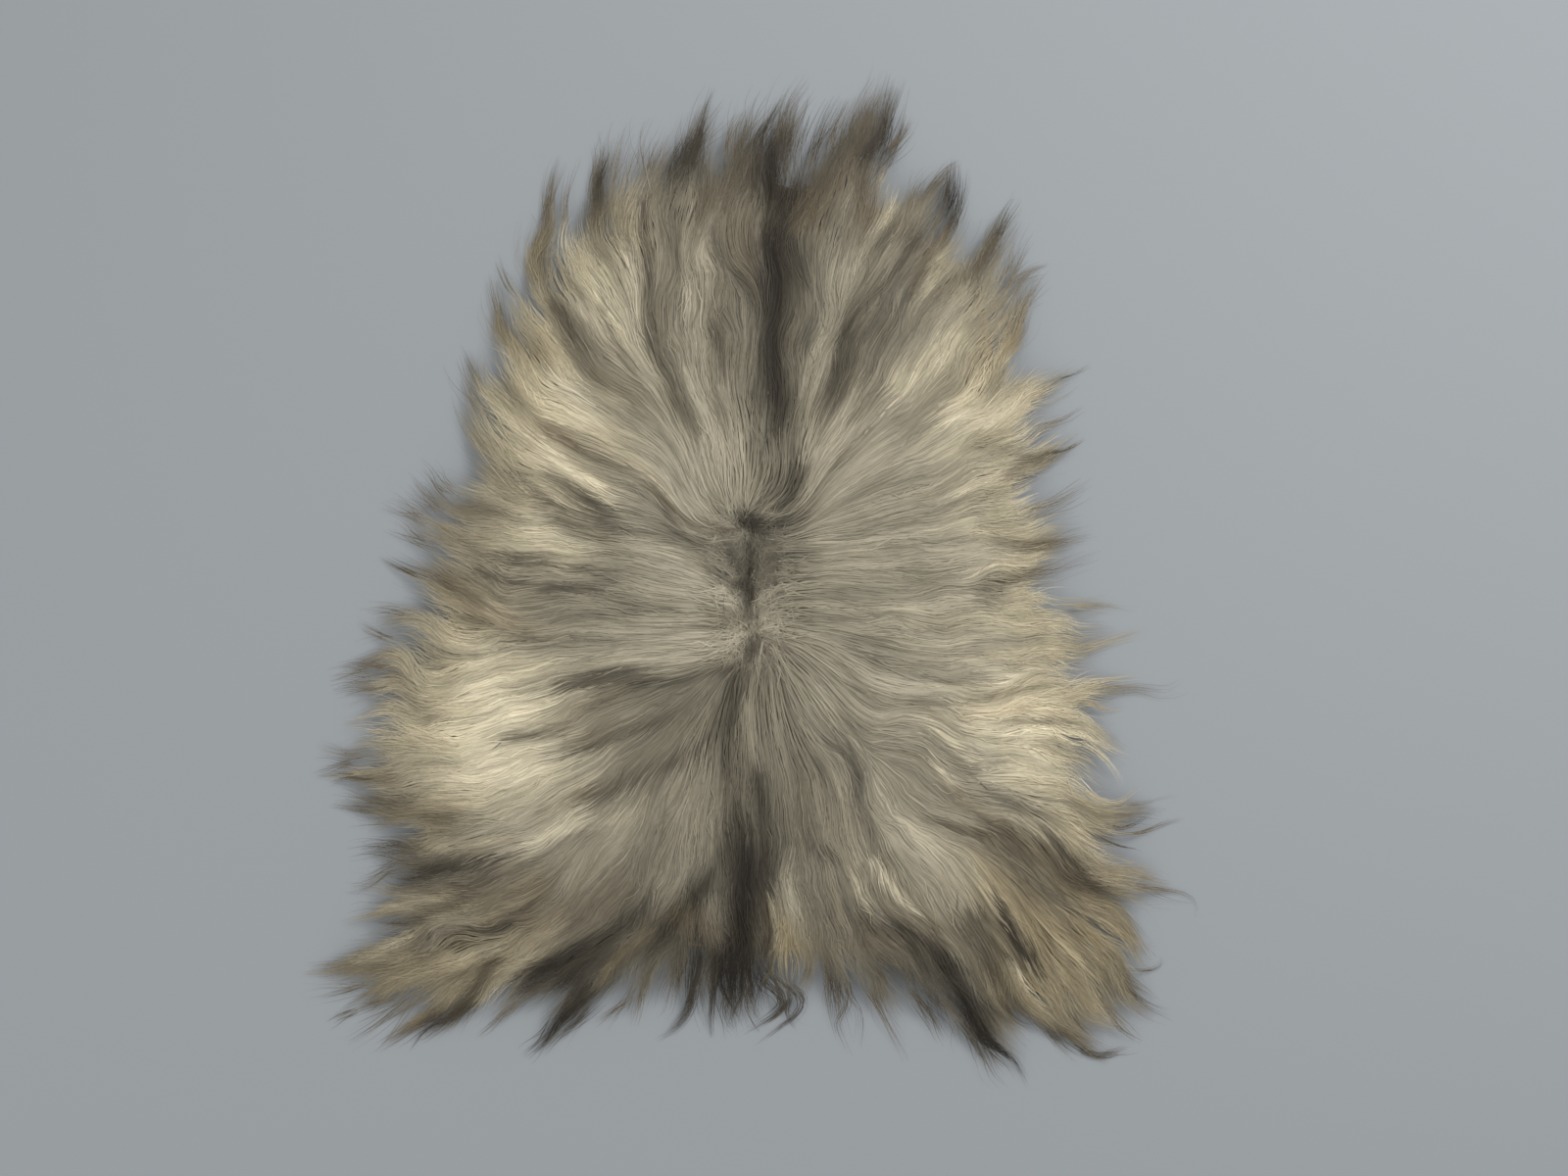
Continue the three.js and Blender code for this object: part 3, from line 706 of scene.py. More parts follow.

# Thin locks and stray curls that stand free of the outline: tone, how many
# fibres, spread at the root and at the tip, then the line from root to tip.
# Some dark and brown rows near the end lie just past the tips and darken the floor
# there: partly thin wisps, partly painted shadow of the locks on the floor.
WISPS = """
dark 26 7 2 | 702,185 706,160 714,135 720,112 727,92
dark 14 6 3 | 688,195 684,175 690,155 698,138
brown 16 8 5 | 742,170 745,145 750,128 760,112
dark 26 10 6 | 776,170 778,140 788,120 800,98
brown 14 10 8 | 800,165 806,140 812,118 820,100
brown 24 12 9 | 845,170 850,145 858,125 870,100
brown 26 12 9 | 865,165 872,140 882,110 896,85
dark 26 10 7 | 885,165 898,140 904,110 912,76
brown 16 8 8 | 900,160 916,145 926,132 932,118
dark 22 8 4 | 962,215 966,195 970,178 972,162
brown 14 10 6 | 945,200 955,185 966,172 980,164
dark 20 8 4 | 1005,262 1018,240 1028,220 1040,200
brown 14 8 7 | 1030,300 1042,285 1056,276 1070,272
brown 8 6 5 | 1032,340 1040,322 1048,308 1058,296
tan 12 5 3 | 1035,412 1060,398 1082,386 1108,374
dark 7 3 2 | 1060,402 1080,388 1095,382 1112,374
brown 12 6 3 | 1045,445 1065,435 1085,428 1104,416
dark 16 4 1.5 | 1052,470 1070,462 1085,460 1108,449
brown 16 10 9 | 1024,530 1050,522 1078,512 1096,502 1112,492
brown 16 9 6 | 1020,562 1048,560 1075,556 1095,550 1120,545
brown 14 12 10 | 1020,596 1050,590 1075,583 1098,574 1124,566
tan 14 9 7 | 1075,618 1100,618 1130,618 1162,622
sand 14 8 5 | 1080,668 1110,662 1135,655 1172,645
sand 14 8 6 | 1088,702 1115,698 1140,695 1172,692
brown 11 7 7 | 1092,706 1130,705 1160,704 1190,708 1205,702
sand 12 4 2 | 1095,712 1112,718 1130,724 1150,721
dark 5 3 4 | 1090,725 1105,718 1118,722
cream 18 7 3 | 1085,742 1110,750 1132,764 1152,772
cream 14 5 3 | 1100,756 1120,768 1134,782 1146,800
sand 12 4 3 | 1100,800 1120,816 1142,819 1165,802
brown 8 5 5 | 1120,825 1145,822 1170,820 1200,812
black 9 2.5 2 | 1118,836 1140,845 1160,840 1176,828
dark 6 2 3 | 1120,855 1140,862 1158,866 1168,870
brown 8 3 4 | 1140,852 1165,850 1190,842 1212,838
tan 16 10 7 | 1130,880 1150,885 1170,890 1196,905
brown 8 6 6 | 1140,905 1165,905 1190,912 1218,916
brown 7 4 2 | 1156,902 1190,908 1208,912 1220,922 1218,938
tan 10 6 4 | 1130,935 1145,950 1160,962 1182,962
dark 5 2 1.5 | 1150,990 1170,990 1184,984 1182,974
brown 12 6 4 | 1130,975 1150,996 1165,1010 1180,1022
dark 12 5 3 | 1136,985 1150,1008 1168,1024 1196,1038
brown 12 6 4 | 1110,1000 1125,1022 1142,1042 1160,1060
dark 8 4 4 | 1125,1025 1140,1045 1155,1056 1172,1064
tan 22 8 4 | 1070,1030 1090,1052 1108,1066 1132,1082
dark 16 5 3 | 1090,1060 1108,1072 1126,1077 1150,1070
brown 6 3 3 | 1120,1076 1140,1074 1160,1072
dark 9 4 3 | 1090,1030 1100,1045 1112,1058
black 30 8 2 | 985,1035 1002,1058 1022,1072 1036,1084 1047,1106
dark 20 9 6 | 975,1035 990,1058 1000,1078 1012,1098
brown 10 6 7 | 995,1058 1008,1075 1018,1092 1030,1104
dark 12 5 3 | 1015,1005 1028,1028 1040,1042 1054,1048
brown 14 7 4 | 925,1005 938,1022 950,1038 958,1056
brown 10 5 3 | 664,990 656,1010 652,1032 646,1056
brown 8 5 6 | 650,1000 640,1022 630,1040 624,1052
dark 20 10 7 | 610,1020 592,1040 572,1058 556,1076
brown 10 5 6 | 640,1020 622,1034 606,1046
brown 12 5 5 | 530,1022 512,1036 500,1048 488,1058
dark 22 8 3 | 478,1022 462,1038 442,1046 430,1056 420,1070
tan 20 8 4 | 448,1030 428,1040 412,1052 396,1064
brown 16 8 6 | 452,1026 432,1042 414,1053 400,1062 385,1072
brown 14 8 7 | 410,1015 385,1022 362,1030 344,1040
tan 26 12 7 | 400,985 370,990 340,992 312,992
brown 22 10 6 | 405,965 375,975 345,985 318,990
brown 12 8 8 | 385,1005 360,1010 335,1015 312,1018
brown 8 5 6 | 365,1030 350,1036 335,1045
tan 14 6 4 | 420,925 395,930 375,936 350,944
dark 8 3 2 | 430,942 410,943 392,941 376,939
brown 14 8 6 | 415,885 395,890 375,900 352,904
dark 14 8 6 | 430,862 405,860 385,862 362,866
brown 10 7 7 | 425,840 400,838 380,840 358,842
brown 14 8 5 | 410,815 385,816 365,814 340,812
slate 12 6 5 | 390,828 370,828 350,826 335,824
dark 18 5 2 | 400,795 375,796 355,794 338,800
sand 16 8 4 | 400,786 375,788 352,790 326,788
brown 12 7 6 | 380,768 360,770 345,768 325,762
sand 12 8 5 | 410,748 385,745 365,742 345,745
cream 12 3 1.5 | 430,744 412,732 392,728 372,732 350,736
brown 12 6 5 | 400,700 378,702 358,704 340,708
brown 16 7 5 | 405,685 385,680 365,676 346,680
brown 10 6 6 | 410,655 392,650 375,642 362,632
brown 8 6 7 | 420,628 400,622 380,620 365,618
dark 16 6 3 | 440,592 420,584 402,576 388,568
brown 14 9 8 | 445,560 425,550 410,540 395,532
brown 14 10 9 | 460,525 440,512 425,500 412,488
brown 14 9 8 | 470,508 450,495 440,482 428,470
tan 12 6 5 | 470,545 448,538 430,530 415,520
brown 10 6 6 | 492,430 482,412 474,398 466,382
dark 6 4 3 | 492,395 482,378 476,362 470,350
brown 14 7 6 | 520,345 510,322 504,300 500,278
brown 8 5 5 | 530,310 518,292 510,275 505,260
brown 13 7 5 | 556,245 557,222 560,200 562,178
brown 12 7 7 | 576,252 576,225 578,200 582,180 588,162
dark 12 3 1.5 | 608,205 612,185 618,166 625,146
brown 12 7 5 | 605,205 606,180 608,160 604,138
brown 9 9 8 | 632,200 634,180 640,160 648,144
brown 10 8 7 | 655,190 662,172 670,155 678,140
dark 34 15 14 | 800,190 804,155 810,122 816,96
brown 26 16 16 | 790,180 796,140 806,105 822,80
dark 26 13 11 | 824,182 832,152 842,126 856,100
dark 30 14 10 | 892,170 904,140 912,110 918,84
brown 18 12 12 | 880,165 890,130 900,95 908,72
black 24 7 6 | 962,226 970,205 974,185 974,168
brown 12 7 8 | 556,240 560,210 566,180 572,160
brown 16 14 14 | 660,190 664,165 668,145 676,125
dark 14 10 10 | 692,190 696,165 702,140 710,118
brown 24 16 14 | 748,190 752,160 758,130 766,105
brown 18 10 12 | 1024,300 1034,275 1044,250 1054,232
brown 14 10 12 | 1036,330 1046,305 1056,285 1068,270
black 36 14 10 | 752,975 752,1000 750,1022 746,1044
black 34 16 12 | 770,980 772,1000 776,1020 778,1040
dark 14 8 10 | 850,990 856,1015 862,1040
dark 30 14 10 | 935,1005 950,1026 962,1044 972,1062
dark 18 12 12 | 425,872 398,872 376,874 356,878
brown 16 12 12 | 390,690 370,690 352,692 338,696
brown 14 10 12 | 372,782 352,782 336,784 320,788
brown 16 14 12 | 440,535 420,525 405,518 392,512
brown 18 12 11 | 438,1006 418,1022 398,1036 378,1049 356,1062
brown 14 12 12 | 505,420 488,400 476,382 468,362
black 46 12 3 | 714,955 710,978 706,1004 703,1028 690,1048 674,1058
black 16 5 2 | 716,966 712,990 704,1015 694,1036 680,1052
dark 12 4 2 | 702,970 698,985 692,1004 695,1022
dark 8 2 3 | 716,975 711,1000 711,1016 713,1034 719,1049
dark 6 2 3 | 712,980 715,1005 718,1024 716,1040
black 34 8 2 | 742,960 737,978 731,998 727,1022 726,1043 727,1056
black 44 12 3 | 748,960 746,988 747,1010 749,1031 745,1046
black 16 4 2 | 740,985 736,1000 742,1018 752,1034 758,1046
black 20 6 2 | 757,975 758,1000 756,1019 747,1037 748,1049
dark 12 3 3 | 764,980 765,1007 767,1022 774,1034 779,1043
dark 8 2 3 | 756,985 760,1012 764,1026 768,1042 776,1052
black 15 9 3 | 772,985 783,1003 795,1014 799,1027 783,1040 762,1052 756,1056
black 12 7 3 | 790,990 805,1006 817,1015 819,1025 811,1037 798,1046 772,1066
black 9 6 3 | 782,992 792,1006 801,1030 811,1043 824,1052
black 12 3 2 | 800,1004 806,1018 803,1032 808,1042 812,1048
dark 10 3 2 | 806,1020 798,1030 788,1040 776,1046
brown 12 4 3 | 828,975 823,991 818,1004 810,1014
brown 8 3 2 | 790,975 784,992 776,1004 764,1010
dark 8 6 4 | 858,980 864,1000 867,1016 875,1031 877,1046 875,1065
dark 6 5 4 | 862,990 866,1019 860,1034 854,1046 860,1062 867,1077
brown 7 4 4 | 846,985 850,1010 856,1030 862,1056
brown 8 4 3 | 870,985 881,1004 899,1031 914,1058 927,1083
brown 7 4 3 | 880,985 893,1007 902,1034 912,1056 924,1077
brown 7 5 5 | 840,975 844,1000 842,1020 846,1040
black 44 12 3 | 622,985 600,1004 578,1032 558,1059 538,1076
dark 20 10 6 | 640,985 614,1008 592,1034 572,1058
dark 16 9 6 | 966,240 978,215 984,190 985,174
dark 18 12 10 | 886,190 900,168 914,150 926,134
brown 14 14 14 | 700,165 712,140 724,118 736,100
brown 14 12 12 | 752,160 764,132 774,112 784,96
brown 12 8 8 | 622,190 628,165 632,145 638,128
brown 10 8 8 | 556,230 558,200 560,178 566,160
brown 12 10 12 | 848,985 852,1010 856,1035 860,1060
dark 12 12 12 | 730,985 736,1010 742,1035 746,1058
brown 12 10 12 | 960,1010 972,1034 980,1052 984,1066
dark 8 8 8 | 570,1040 560,1056 548,1070 536,1082
dark 10 6 5 | 1060,1040 1076,1060 1092,1074 1110,1084
black 10 8 4 | 764,975 780,998 792,1010 797,1024 786,1036 768,1048
black 8 8 5 | 776,985 796,1000 810,1012 814,1026 802,1040 784,1056
dark 8 8 6 | 740,990 744,1010 738,1028 742,1044 752,1056
dark 8 8 6 | 760,985 768,1006 762,1024 770,1042 782,1054
sand 16 12 10 | 560,360 540,330 522,308 508,290
cream 20 12 9 | 560,520 530,492 506,462 488,432
sand 18 12 9 | 552,505 524,480 500,452 482,420
tan 16 10 8 | 1084,930 1106,948 1124,966 1140,986
tan 14 9 8 | 1078,975 1096,1000 1110,1020 1126,1040
dark 12 10 9 | 846,975 852,1006 856,1034 862,1058
dark 10 9 8 | 786,975 794,1000 800,1020 806,1040
brown 34 14 12 | 806,250 810,225 816,200 826,174
dark 30 14 10 | 796,250 800,225 804,200 810,170
brown 26 12 12 | 822,245 828,220 834,196 842,166
cream 18 10 8 | 535,478 514,450 497,422 482,398
sand 14 8 6 | 592,312 577,286 566,262 560,240
tan 20 9 7 | 1036,970 1052,998 1066,1020 1084,1044
sand 14 10 9 | 1040,470 1066,462 1086,452 1102,440
"""

# ----------------------------------------------------------------------------
# Reading the tables
# ----------------------------------------------------------------------------


def line_of(text):
    return np.array([[float(v) for v in p.split(",")] for p in text.split()])


def curve_through(points, step):
    """Points a step apart along a smooth curve through the given ones."""
    p = np.vstack([2 * points[0] - points[1], points, 2 * points[-1] - points[-2]])
    t = np.linspace(0, 1, 12, endpoint=False)[:, None]
    out = []
    for a, b, c, d in zip(p[:-3], p[1:-2], p[2:-1], p[3:]):
        out.append(0.5 * (2 * b + (c - a) * t + (2 * a - 5 * b + 4 * c - d) * t**2 + (3 * b - a - 3 * c + d) * t**3))
    q = np.vstack([*out, points[-1:]])
    s = np.concatenate([[0], np.cumsum(np.linalg.norm(np.diff(q, axis=0), axis=1))])
    n = max(2, int(round(s[-1] / step)) + 1)
    at = np.linspace(0, s[-1], n)
    return np.stack([np.interp(at, s, q[:, 0]), np.interp(at, s, q[:, 1])], axis=1)


def linear(rgb):
    c = np.asarray(rgb, float) / 255
    return np.where(c <= 0.04045, c / 12.92, ((c + 0.055) / 1.055) ** 2.4)


def unit(v):
    return v / (np.linalg.norm(v, axis=-1, keepdims=True) + 1e-9)


def step_up(x, a, b):
    t = np.clip((x - a) / (b - a), 0, 1)
    return t * t * (3 - 2 * t)


# ----------------------------------------------------------------------------
# Fields over the pelt, on a grid of photo pixels
# ----------------------------------------------------------------------------
G0 = np.array([270.0, 30.0])
G1 = np.array([1250.0, 1150.0])
FINE = 3.0


class Field:
    """Values on a grid, read with smooth interpolation."""

    def __init__(self, step):
        self.step = step
        self.nx, self.ny = (int(n) + 1 for n in (G1 - G0) / step)
        self.v = None

    def points(self):
        x = G0[0] + np.arange(self.nx) * self.step
        y = G0[1] + np.arange(self.ny) * self.step
        return np.stack(np.meshgrid(x, y), axis=-1).reshape(-1, 2)

    def fill(self, flat):
        self.v = flat.reshape(self.ny, self.nx, -1)
        return self

    def at(self, p):
        q = (p - G0) / self.step
        x = np.clip(q[..., 0], 0, self.nx - 1.001)
        y = np.clip(q[..., 1], 0, self.ny - 1.001)
        i, j = x.astype(int), y.astype(int)
        u, w = (x - i)[..., None], (y - j)[..., None]
        v = self.v
        return (v[j, i] * (1 - u) + v[j, i + 1] * u) * (1 - w) + (v[j + 1, i] * (1 - u) + v[j + 1, i + 1] * u) * w

    def blurred(self, times):
        v = self.v
        for _ in range(times):
            p = np.pad(v, ((1, 1), (1, 1), (0, 0)), mode="edge")
            v = (p[:-2, 1:-1] + p[2:, 1:-1] + p[1:-1, :-2] + p[1:-1, 2:] + 2 * p[1:-1, 1:-1]) / 6
        self.v = v
        return self


def segment_distance(p, a, b):
    ab = b - a
    t = np.clip(((p - a) @ ab) / max(float(ab @ ab), 1e-9), 0, 1)
    return np.linalg.norm(p - (a + t[:, None] * ab), axis=1)


def smooth_noise(cell, seed):
    """A soft random field with the given cell, from -1 to 1."""
    f = Field(cell)
    r = np.random.default_rng(seed)
    return f.fill(r.uniform(-1, 1, (f.nx * f.ny, 1))).blurred(1)


grid = Field(FINE).points()

# ---- the outline, as a distance that is positive inside ---------------------
corner = line_of(OUTLINE)
tips, gaps = corner[0::2], corner[1::2]
edge = []
for k in range(len(tips)):
    for a, b in ((gaps[k - 1], tips[k]), (tips[k], gaps[k])):
        d = b - a
        side = np.array([-d[1], d[0]])
        for t in (0.0, 0.25, 0.5, 0.75):
            edge.append(a + d * t + side * 0.05 * math.sin(math.pi * t))
edge = np.array(edge)


def signed(p, poly):
    best = np.full(len(p), 1e9)
    inside = np.zeros(len(p), bool)
    for a, b in zip(poly, np.roll(poly, -1, axis=0)):
        best = np.minimum(best, segment_distance(p, a, b))
        cross = (a[1] > p[:, 1]) != (b[1] > p[:, 1])
        with np.errstate(divide="ignore", invalid="ignore"):
            x = (b[0] - a[0]) * (p[:, 1] - a[1]) / (b[1] - a[1]) + a[0]
        inside ^= cross & (p[:, 0] < x)
    return np.where(inside, best, -best)


reach = Field(6.0)
reach.fill(signed(reach.points(), edge))
on_pelt = reach.at(grid)[:, 0] > 10

# ---- which way the wool lies -----------------------------------------------
guides = [curve_through(line_of(row), 6.0) for row in FLOW.strip().splitlines()]
g_at = np.vstack([(g[1:] + g[:-1]) / 2 for g in guides])
g_to = unit(np.vstack([np.diff(g, axis=0) for g in guides]))
combed_way = Field(6.0)
cp = combed_way.points()
way = np.zeros_like(cp)
for k in range(0, len(cp), 2000):
    d2 = ((cp[k:k + 2000, None, :] - g_at[None]) ** 2).sum(-1)
    way[k:k + 2000] = (1 / (d2 + 30.0) ** 2) @ g_to
combed_way.fill(unit(way))
flow = Field(FINE).fill(unit(combed_way.at(grid)))


def heading(p):
    return unit(flow.at(p))


def run(start, length, steps, sign=1):
    """Lines of the given lengths that start at the points and follow the wool."""
    p = start.copy()
    out = [p]
    h = (sign * length / steps)[:, None]
    for _ in range(steps):
        mid = p + heading(p) * h / 2
        p = p + heading(mid) * h
        out.append(p)
    return np.stack(out, axis=1)


def streaks(cell, seed, half, pace=4.0):
    """Noise that is drawn out along the wool: even along a lock, changing across it."""
    noise = smooth_noise(cell, seed)
    total = noise.at(grid).copy()
    steps = int(half / pace)
    for sign in (1, -1):
        p = grid
        for k in range(1, steps + 1):
            p = p + flow.at(p) * (sign * pace)
            total += noise.at(p) * (0.5 + 0.5 * math.cos(math.pi * k / (steps + 1)))
    f = total[:, 0]
    f = (f - f[on_pelt].mean()) / f[on_pelt].std()
    return Field(FINE).fill(f)


parting = line_of(PARTING)
from_parting = np.full(len(grid), 1e9)
for a, b in zip(parting[:-1], parting[1:]):
    from_parting = np.minimum(from_parting, segment_distance(grid, a, b))

start_off = Field(FINE).fill(from_parting)

# The locks wave, more so the further out they lie, each at its own phase.
apart = streaks(18, 61, 90).v.reshape(-1)
amount = smooth_noise(110, 62).at(grid)[:, 0]
side = np.stack([-flow.v[..., 1], flow.v[..., 0]], axis=-1).reshape(-1, 2)
far = step_up(from_parting, 70, 230)
ripple = np.cos(2 * np.pi * from_parting / 36 + 1.6 * apart + 5 * smooth_noise(120, 63).at(grid)[:, 0])
bend = np.cos(2 * np.pi * from_parting / 82 + 1.2 * apart + 5 * smooth_noise(150, 64).at(grid)[:, 0])
muddle = (1 - step_up(from_parting, 6, 64)) * (0.55 * smooth_noise(13, 65).at(grid)[:, 0] + 0.35 * smooth_noise(29, 66).at(grid)[:, 0])
swing = (0.15 * far * np.clip(0.6 + amount, 0, 1.5) * ripple + 0.15 * far * bend + muddle)[:, None]
flow.fill(unit(flow.v.reshape(-1, 2) + side * swing))

# ---- how high the wool stands ------------------------------------------------
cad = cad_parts["sheepskin"].data
tree = BVHTree.FromPolygons([v.co.copy() for v in cad.vertices], [tuple(p.vertices) for p in cad.polygons])


def plan(p):
    """Photo pixels to metres on the floor."""
    return np.stack([(p[..., 0] - MID[0]) * PX, (MID[1] - p[..., 1]) * PX], axis=-1)


LENS = plan(np.array(LENS_AT))


def lifted(xy, z):
    """Where a point seen over xy on the floor is, when it is z above the floor."""
    return LENS + (xy - LENS) * (1 - z / LENS_UP)[..., None]


def cad_top(xy):
    out = np.zeros(len(xy))
    for i, (x, y) in enumerate(xy):
        hit = tree.ray_cast(Vector((x, y, 0.5)), Vector((0, 0, -1)))
        out[i] = hit[0].z if hit[0] is not None else 0.0
    return out


loft = Field(10.0)
lp = plan(loft.points())
loft.fill(cad_top(lifted(lp, cad_top(lp)))).blurred(3)
loft.v = loft.v * LOFT_SHARE

heavy = streaks(17, 71, 120)
small = streaks(8, 72, 80)
thin = streaks(4, 73, 56)
lit = streaks(10, 74, 100)
broadly = streaks(26, 76, 130)
rounded = np.minimum(np.abs(heavy.v), 1.3) - 0.6      # round locks, sharp valleys
rounded2 = np.minimum(np.abs(small.v), 1.3) - 0.6
base = loft.at(grid).reshape(heavy.v.shape)
lively = np.clip(base / 0.03, 0.1, 1)
surface = Field(FINE).fill(base + lively * (0.0034 * rounded + 0.0012 * rounded2 + 0.0011 * lit.v))
gy, gx = np.gradient(surface.v[..., 0], FINE * PX)
facing = Field(FINE).fill(unit(np.stack([-gx, gy, np.ones_like(gx)], axis=-1)))
valley = np.exp(-(np.abs(heavy.v) / 0.16) ** 2)
valley2 = np.exp(-(np.abs(small.v) / 0.2) ** 2)

# ---- what colour it is, with painted shade and painted highlights -------------
colour = np.tile(linear(TONE["mid"]), (len(grid), 1))
near_edge = reach.at(grid)[:, 0]


def paint(tone, width, strength, path):
    lo, hi = path.min(0) - 2.6 * width, path.max(0) + 2.6 * width
    sel = np.nonzero((grid >= lo).all(1) & (grid <= hi).all(1))[0]
    d = np.full(len(sel), 1e9)
    for a, b in zip(path[:-1], path[1:]):
        d = np.minimum(d, segment_distance(grid[sel], a, b))
    w = (strength * np.exp(-(d / width) ** 2))[:, None]
    colour[sel] = colour[sel] * (1 - w) + linear(TONE[tone]) * w


patch_rows = []
for row in PATCHES.strip().splitlines():
    head, path = row.split("|")
    tone, width, strength = head.split()
    patch_rows.append((tone, float(width), float(strength), line_of(path)))
for r in (r for r in patch_rows if r[1] >= 18):
    paint(*r)
# broad patches run into each other along the locks
tint_and_shade = Field(FINE).fill(colour)
colour = tint_and_shade.at(grid + flow.v.reshape(-1, 2) * (16 * small.v + 9 * thin.v).reshape(-1, 1))
rim = (step_up(-near_edge, -16, 10) * 0.5)[:, None]
colour = colour * (1 - rim) + linear(TONE["brown"]) * rim
for r in (r for r in patch_rows if r[1] < 18):
    paint(*r)
# lighter and darker streaks along the locks; the lit streaks also raise the surface, so the raised streaks are painted
# lighter: a painted sheen on top of the grain.
grain_and_light = 1 + 0.05 * broadly.v + 0.07 * lit.v + 0.05 * small.v + 0.065 * thin.v
# painted shade: the valleys between locks are darkened. The colour field then holds the wool's colour with this painted
# shade and the painted highlights and shadow lines of the patches.
shade = (1 - 0.20 * valley * np.clip(0.4 + smooth_noise(90, 75).at(grid).reshape(base.shape), 0, 1)) * (1 - 0.08 * valley2)
tint_and_shade.fill(colour * np.clip(grain_and_light * shade, 0.45, 1.5).reshape(-1, 1))

# ----------------------------------------------------------------------------
# Wool
# ----------------------------------------------------------------------------
BODY_STEPS, EDGE_STEPS = 9, 8           # lengths of ribbon in a fibre
BODY_FIBRES, EDGE_FIBRES = 32500, 29500


def rake(spacing, seed, margin):
    """Points spread evenly over the pelt, jittered from a grid."""
    r = np.random.default_rng(seed)
    f = Field(spacing)
    p = f.points() + r.uniform(-0.5, 0.5, (f.nx * f.ny, 2)) * spacing
    return p[reach.at(p)[:, 0] > margin]


root = rake(math.sqrt(0.60 / PX**2 / BODY_FIBRES), 13, 20)
RNG.shuffle(root)
n = len(root)
length = RNG.uniform(62, 112, n)
short = RNG.random(n) < 0.7 * (1 - step_up(start_off.at(root)[:, 0], 10, 55))
length = np.where(short, RNG.uniform(18, 48, n), length)
u = np.linspace(0, 1, BODY_STEPS + 1)[None, :]
p = run(root, length, BODY_STEPS)
wild = RNG.random(n) < np.where(short, 0.35, 0.05)
drift = RNG.normal(0, 1, (n, 1)) * np.where(wild, 0.10, 0.028)[:, None]
curl = RNG.normal(0, 1, (n, 1)) * np.where(wild, 1.6, 0.5)[:, None]
side = heading(p)
side = np.stack([-side[..., 1], side[..., 0]], axis=-1)
s = u * length[:, None]
p = p + side * (drift * s + curl * np.sin(2 * np.pi * s / RNG.uniform(24, 48, (n, 1)) + RNG.uniform(0, 6, (n, 1))))[..., None]

# a fibre ends where it nears the outline, sooner or later
ends_at = 14 + 46 * RNG.beta(1.5, 1.5, n)
left = reach.at(p)[..., 0] < ends_at[:, None]
stop = np.where(left.any(1), left.argmax(1), BODY_STEPS).astype(float)
keep = stop >= 3
p, length, root, stop, wild = (a[keep] for a in (p, length, root, stop, wild))
n = len(p)
q = u * stop[:, None]
i = np.clip(q.astype(int), 0, BODY_STEPS - 1)
w = (q - i)[..., None]
rows = np.arange(n)[:, None]
p = p[rows, i] * (1 - w) + p[rows, i + 1] * w
length = length * stop / BODY_STEPS
free = stop < BODY_STEPS
near = step_up(start_off.at(p[:, 0])[:, 0], 8, 60)[:, None]   # at the parting they rise at once
z = surface.at(p)[..., 0] - 0.0010 + 0.0011 * step_up(u / (0.05 + 0.17 * near), 0, 1) + RNG.normal(0, 0.00016, (n, 1))
z = z + np.where(wild, 0.0010, 0.0)[:, None] * np.sin(np.pi * u)
z = np.maximum(z, 0.0012 + RNG.uniform(0, 0.0014, (n, 1)))
body = {
    "p": p, "z": z, "u": np.broadcast_to(u, p.shape[:2]),
    "width": RNG.uniform(0.0007, 0.0013, n), "tip": np.where(free, 0.2, 0.6),
    "dark": RNG.normal(0, 0.12, n),
    "shift": RNG.normal(0, 1, (n, 2)) * np.array([9.0, 1.6]),
    "tone": np.zeros((n, 3)), "own": np.zeros(n), "fade": np.zeros(n),
}

# short hairs that cross each other along the parting
CROWN = 2300
f = RNG.uniform(-0.06, 1.14, CROWN)
foot = np.stack([np.interp(f, np.linspace(0, 1, len(parting)), parting[:, j]) for j in (0, 1)], axis=1)
foot[:, 1] += np.clip(f - 1, 0, 1) * 120 + np.clip(f, -1, 0) * 120
foot = foot + RNG.normal(0, 1, (CROWN, 2)) * np.array([14.0, 6.0])
d = heading(foot)
turn = np.arctan2(d[:, 1], d[:, 0]) + RNG.normal(0, 0.55, CROWN)
turn = np.where(RNG.random(CROWN) < 0.4, math.pi / 2 + RNG.normal(0, 0.5, CROWN), turn)[:, None]
far_on = RNG.uniform(14, 36, (CROWN, 1))
turn = turn + RNG.normal(0, 0.022, (CROWN, 1)) * u * far_on
c = np.cumsum(np.stack([np.cos(turn), np.sin(turn)], axis=-1) * (far_on / BODY_STEPS)[..., None], axis=1)
c = foot[:, None, :] + c - c[:, :1]
cz = surface.at(c)[..., 0] - 0.0006 + 0.0009 * step_up(u, 0, 0.2) + RNG.uniform(0, 0.0009, (CROWN, 1)) * np.sin(np.pi * u)
crown = {
    "p": c, "z": cz, "u": np.broadcast_to(u, cz.shape),
    "width": RNG.uniform(0.0005, 0.0010, CROWN), "tip": np.full(CROWN, 0.3),
    "dark": RNG.normal(0, 0.17, CROWN),
    "shift": RNG.normal(0, 1, (CROWN, 2)) * np.array([3.0, 2.0]),
    "tone": np.zeros((CROWN, 3)), "own": np.zeros(CROWN), "fade": np.zeros(CROWN),
}
body = {k: np.concatenate([body[k], crown[k]]) for k in body}

# ---- the free ends: locks that thin out beyond the outline -----------------------
edge_u = np.linspace(0, 1, EDGE_STEPS + 1)
loose = {k: [] for k in ("p", "z", "width", "tone", "own", "tip", "dark", "fade", "shift")}


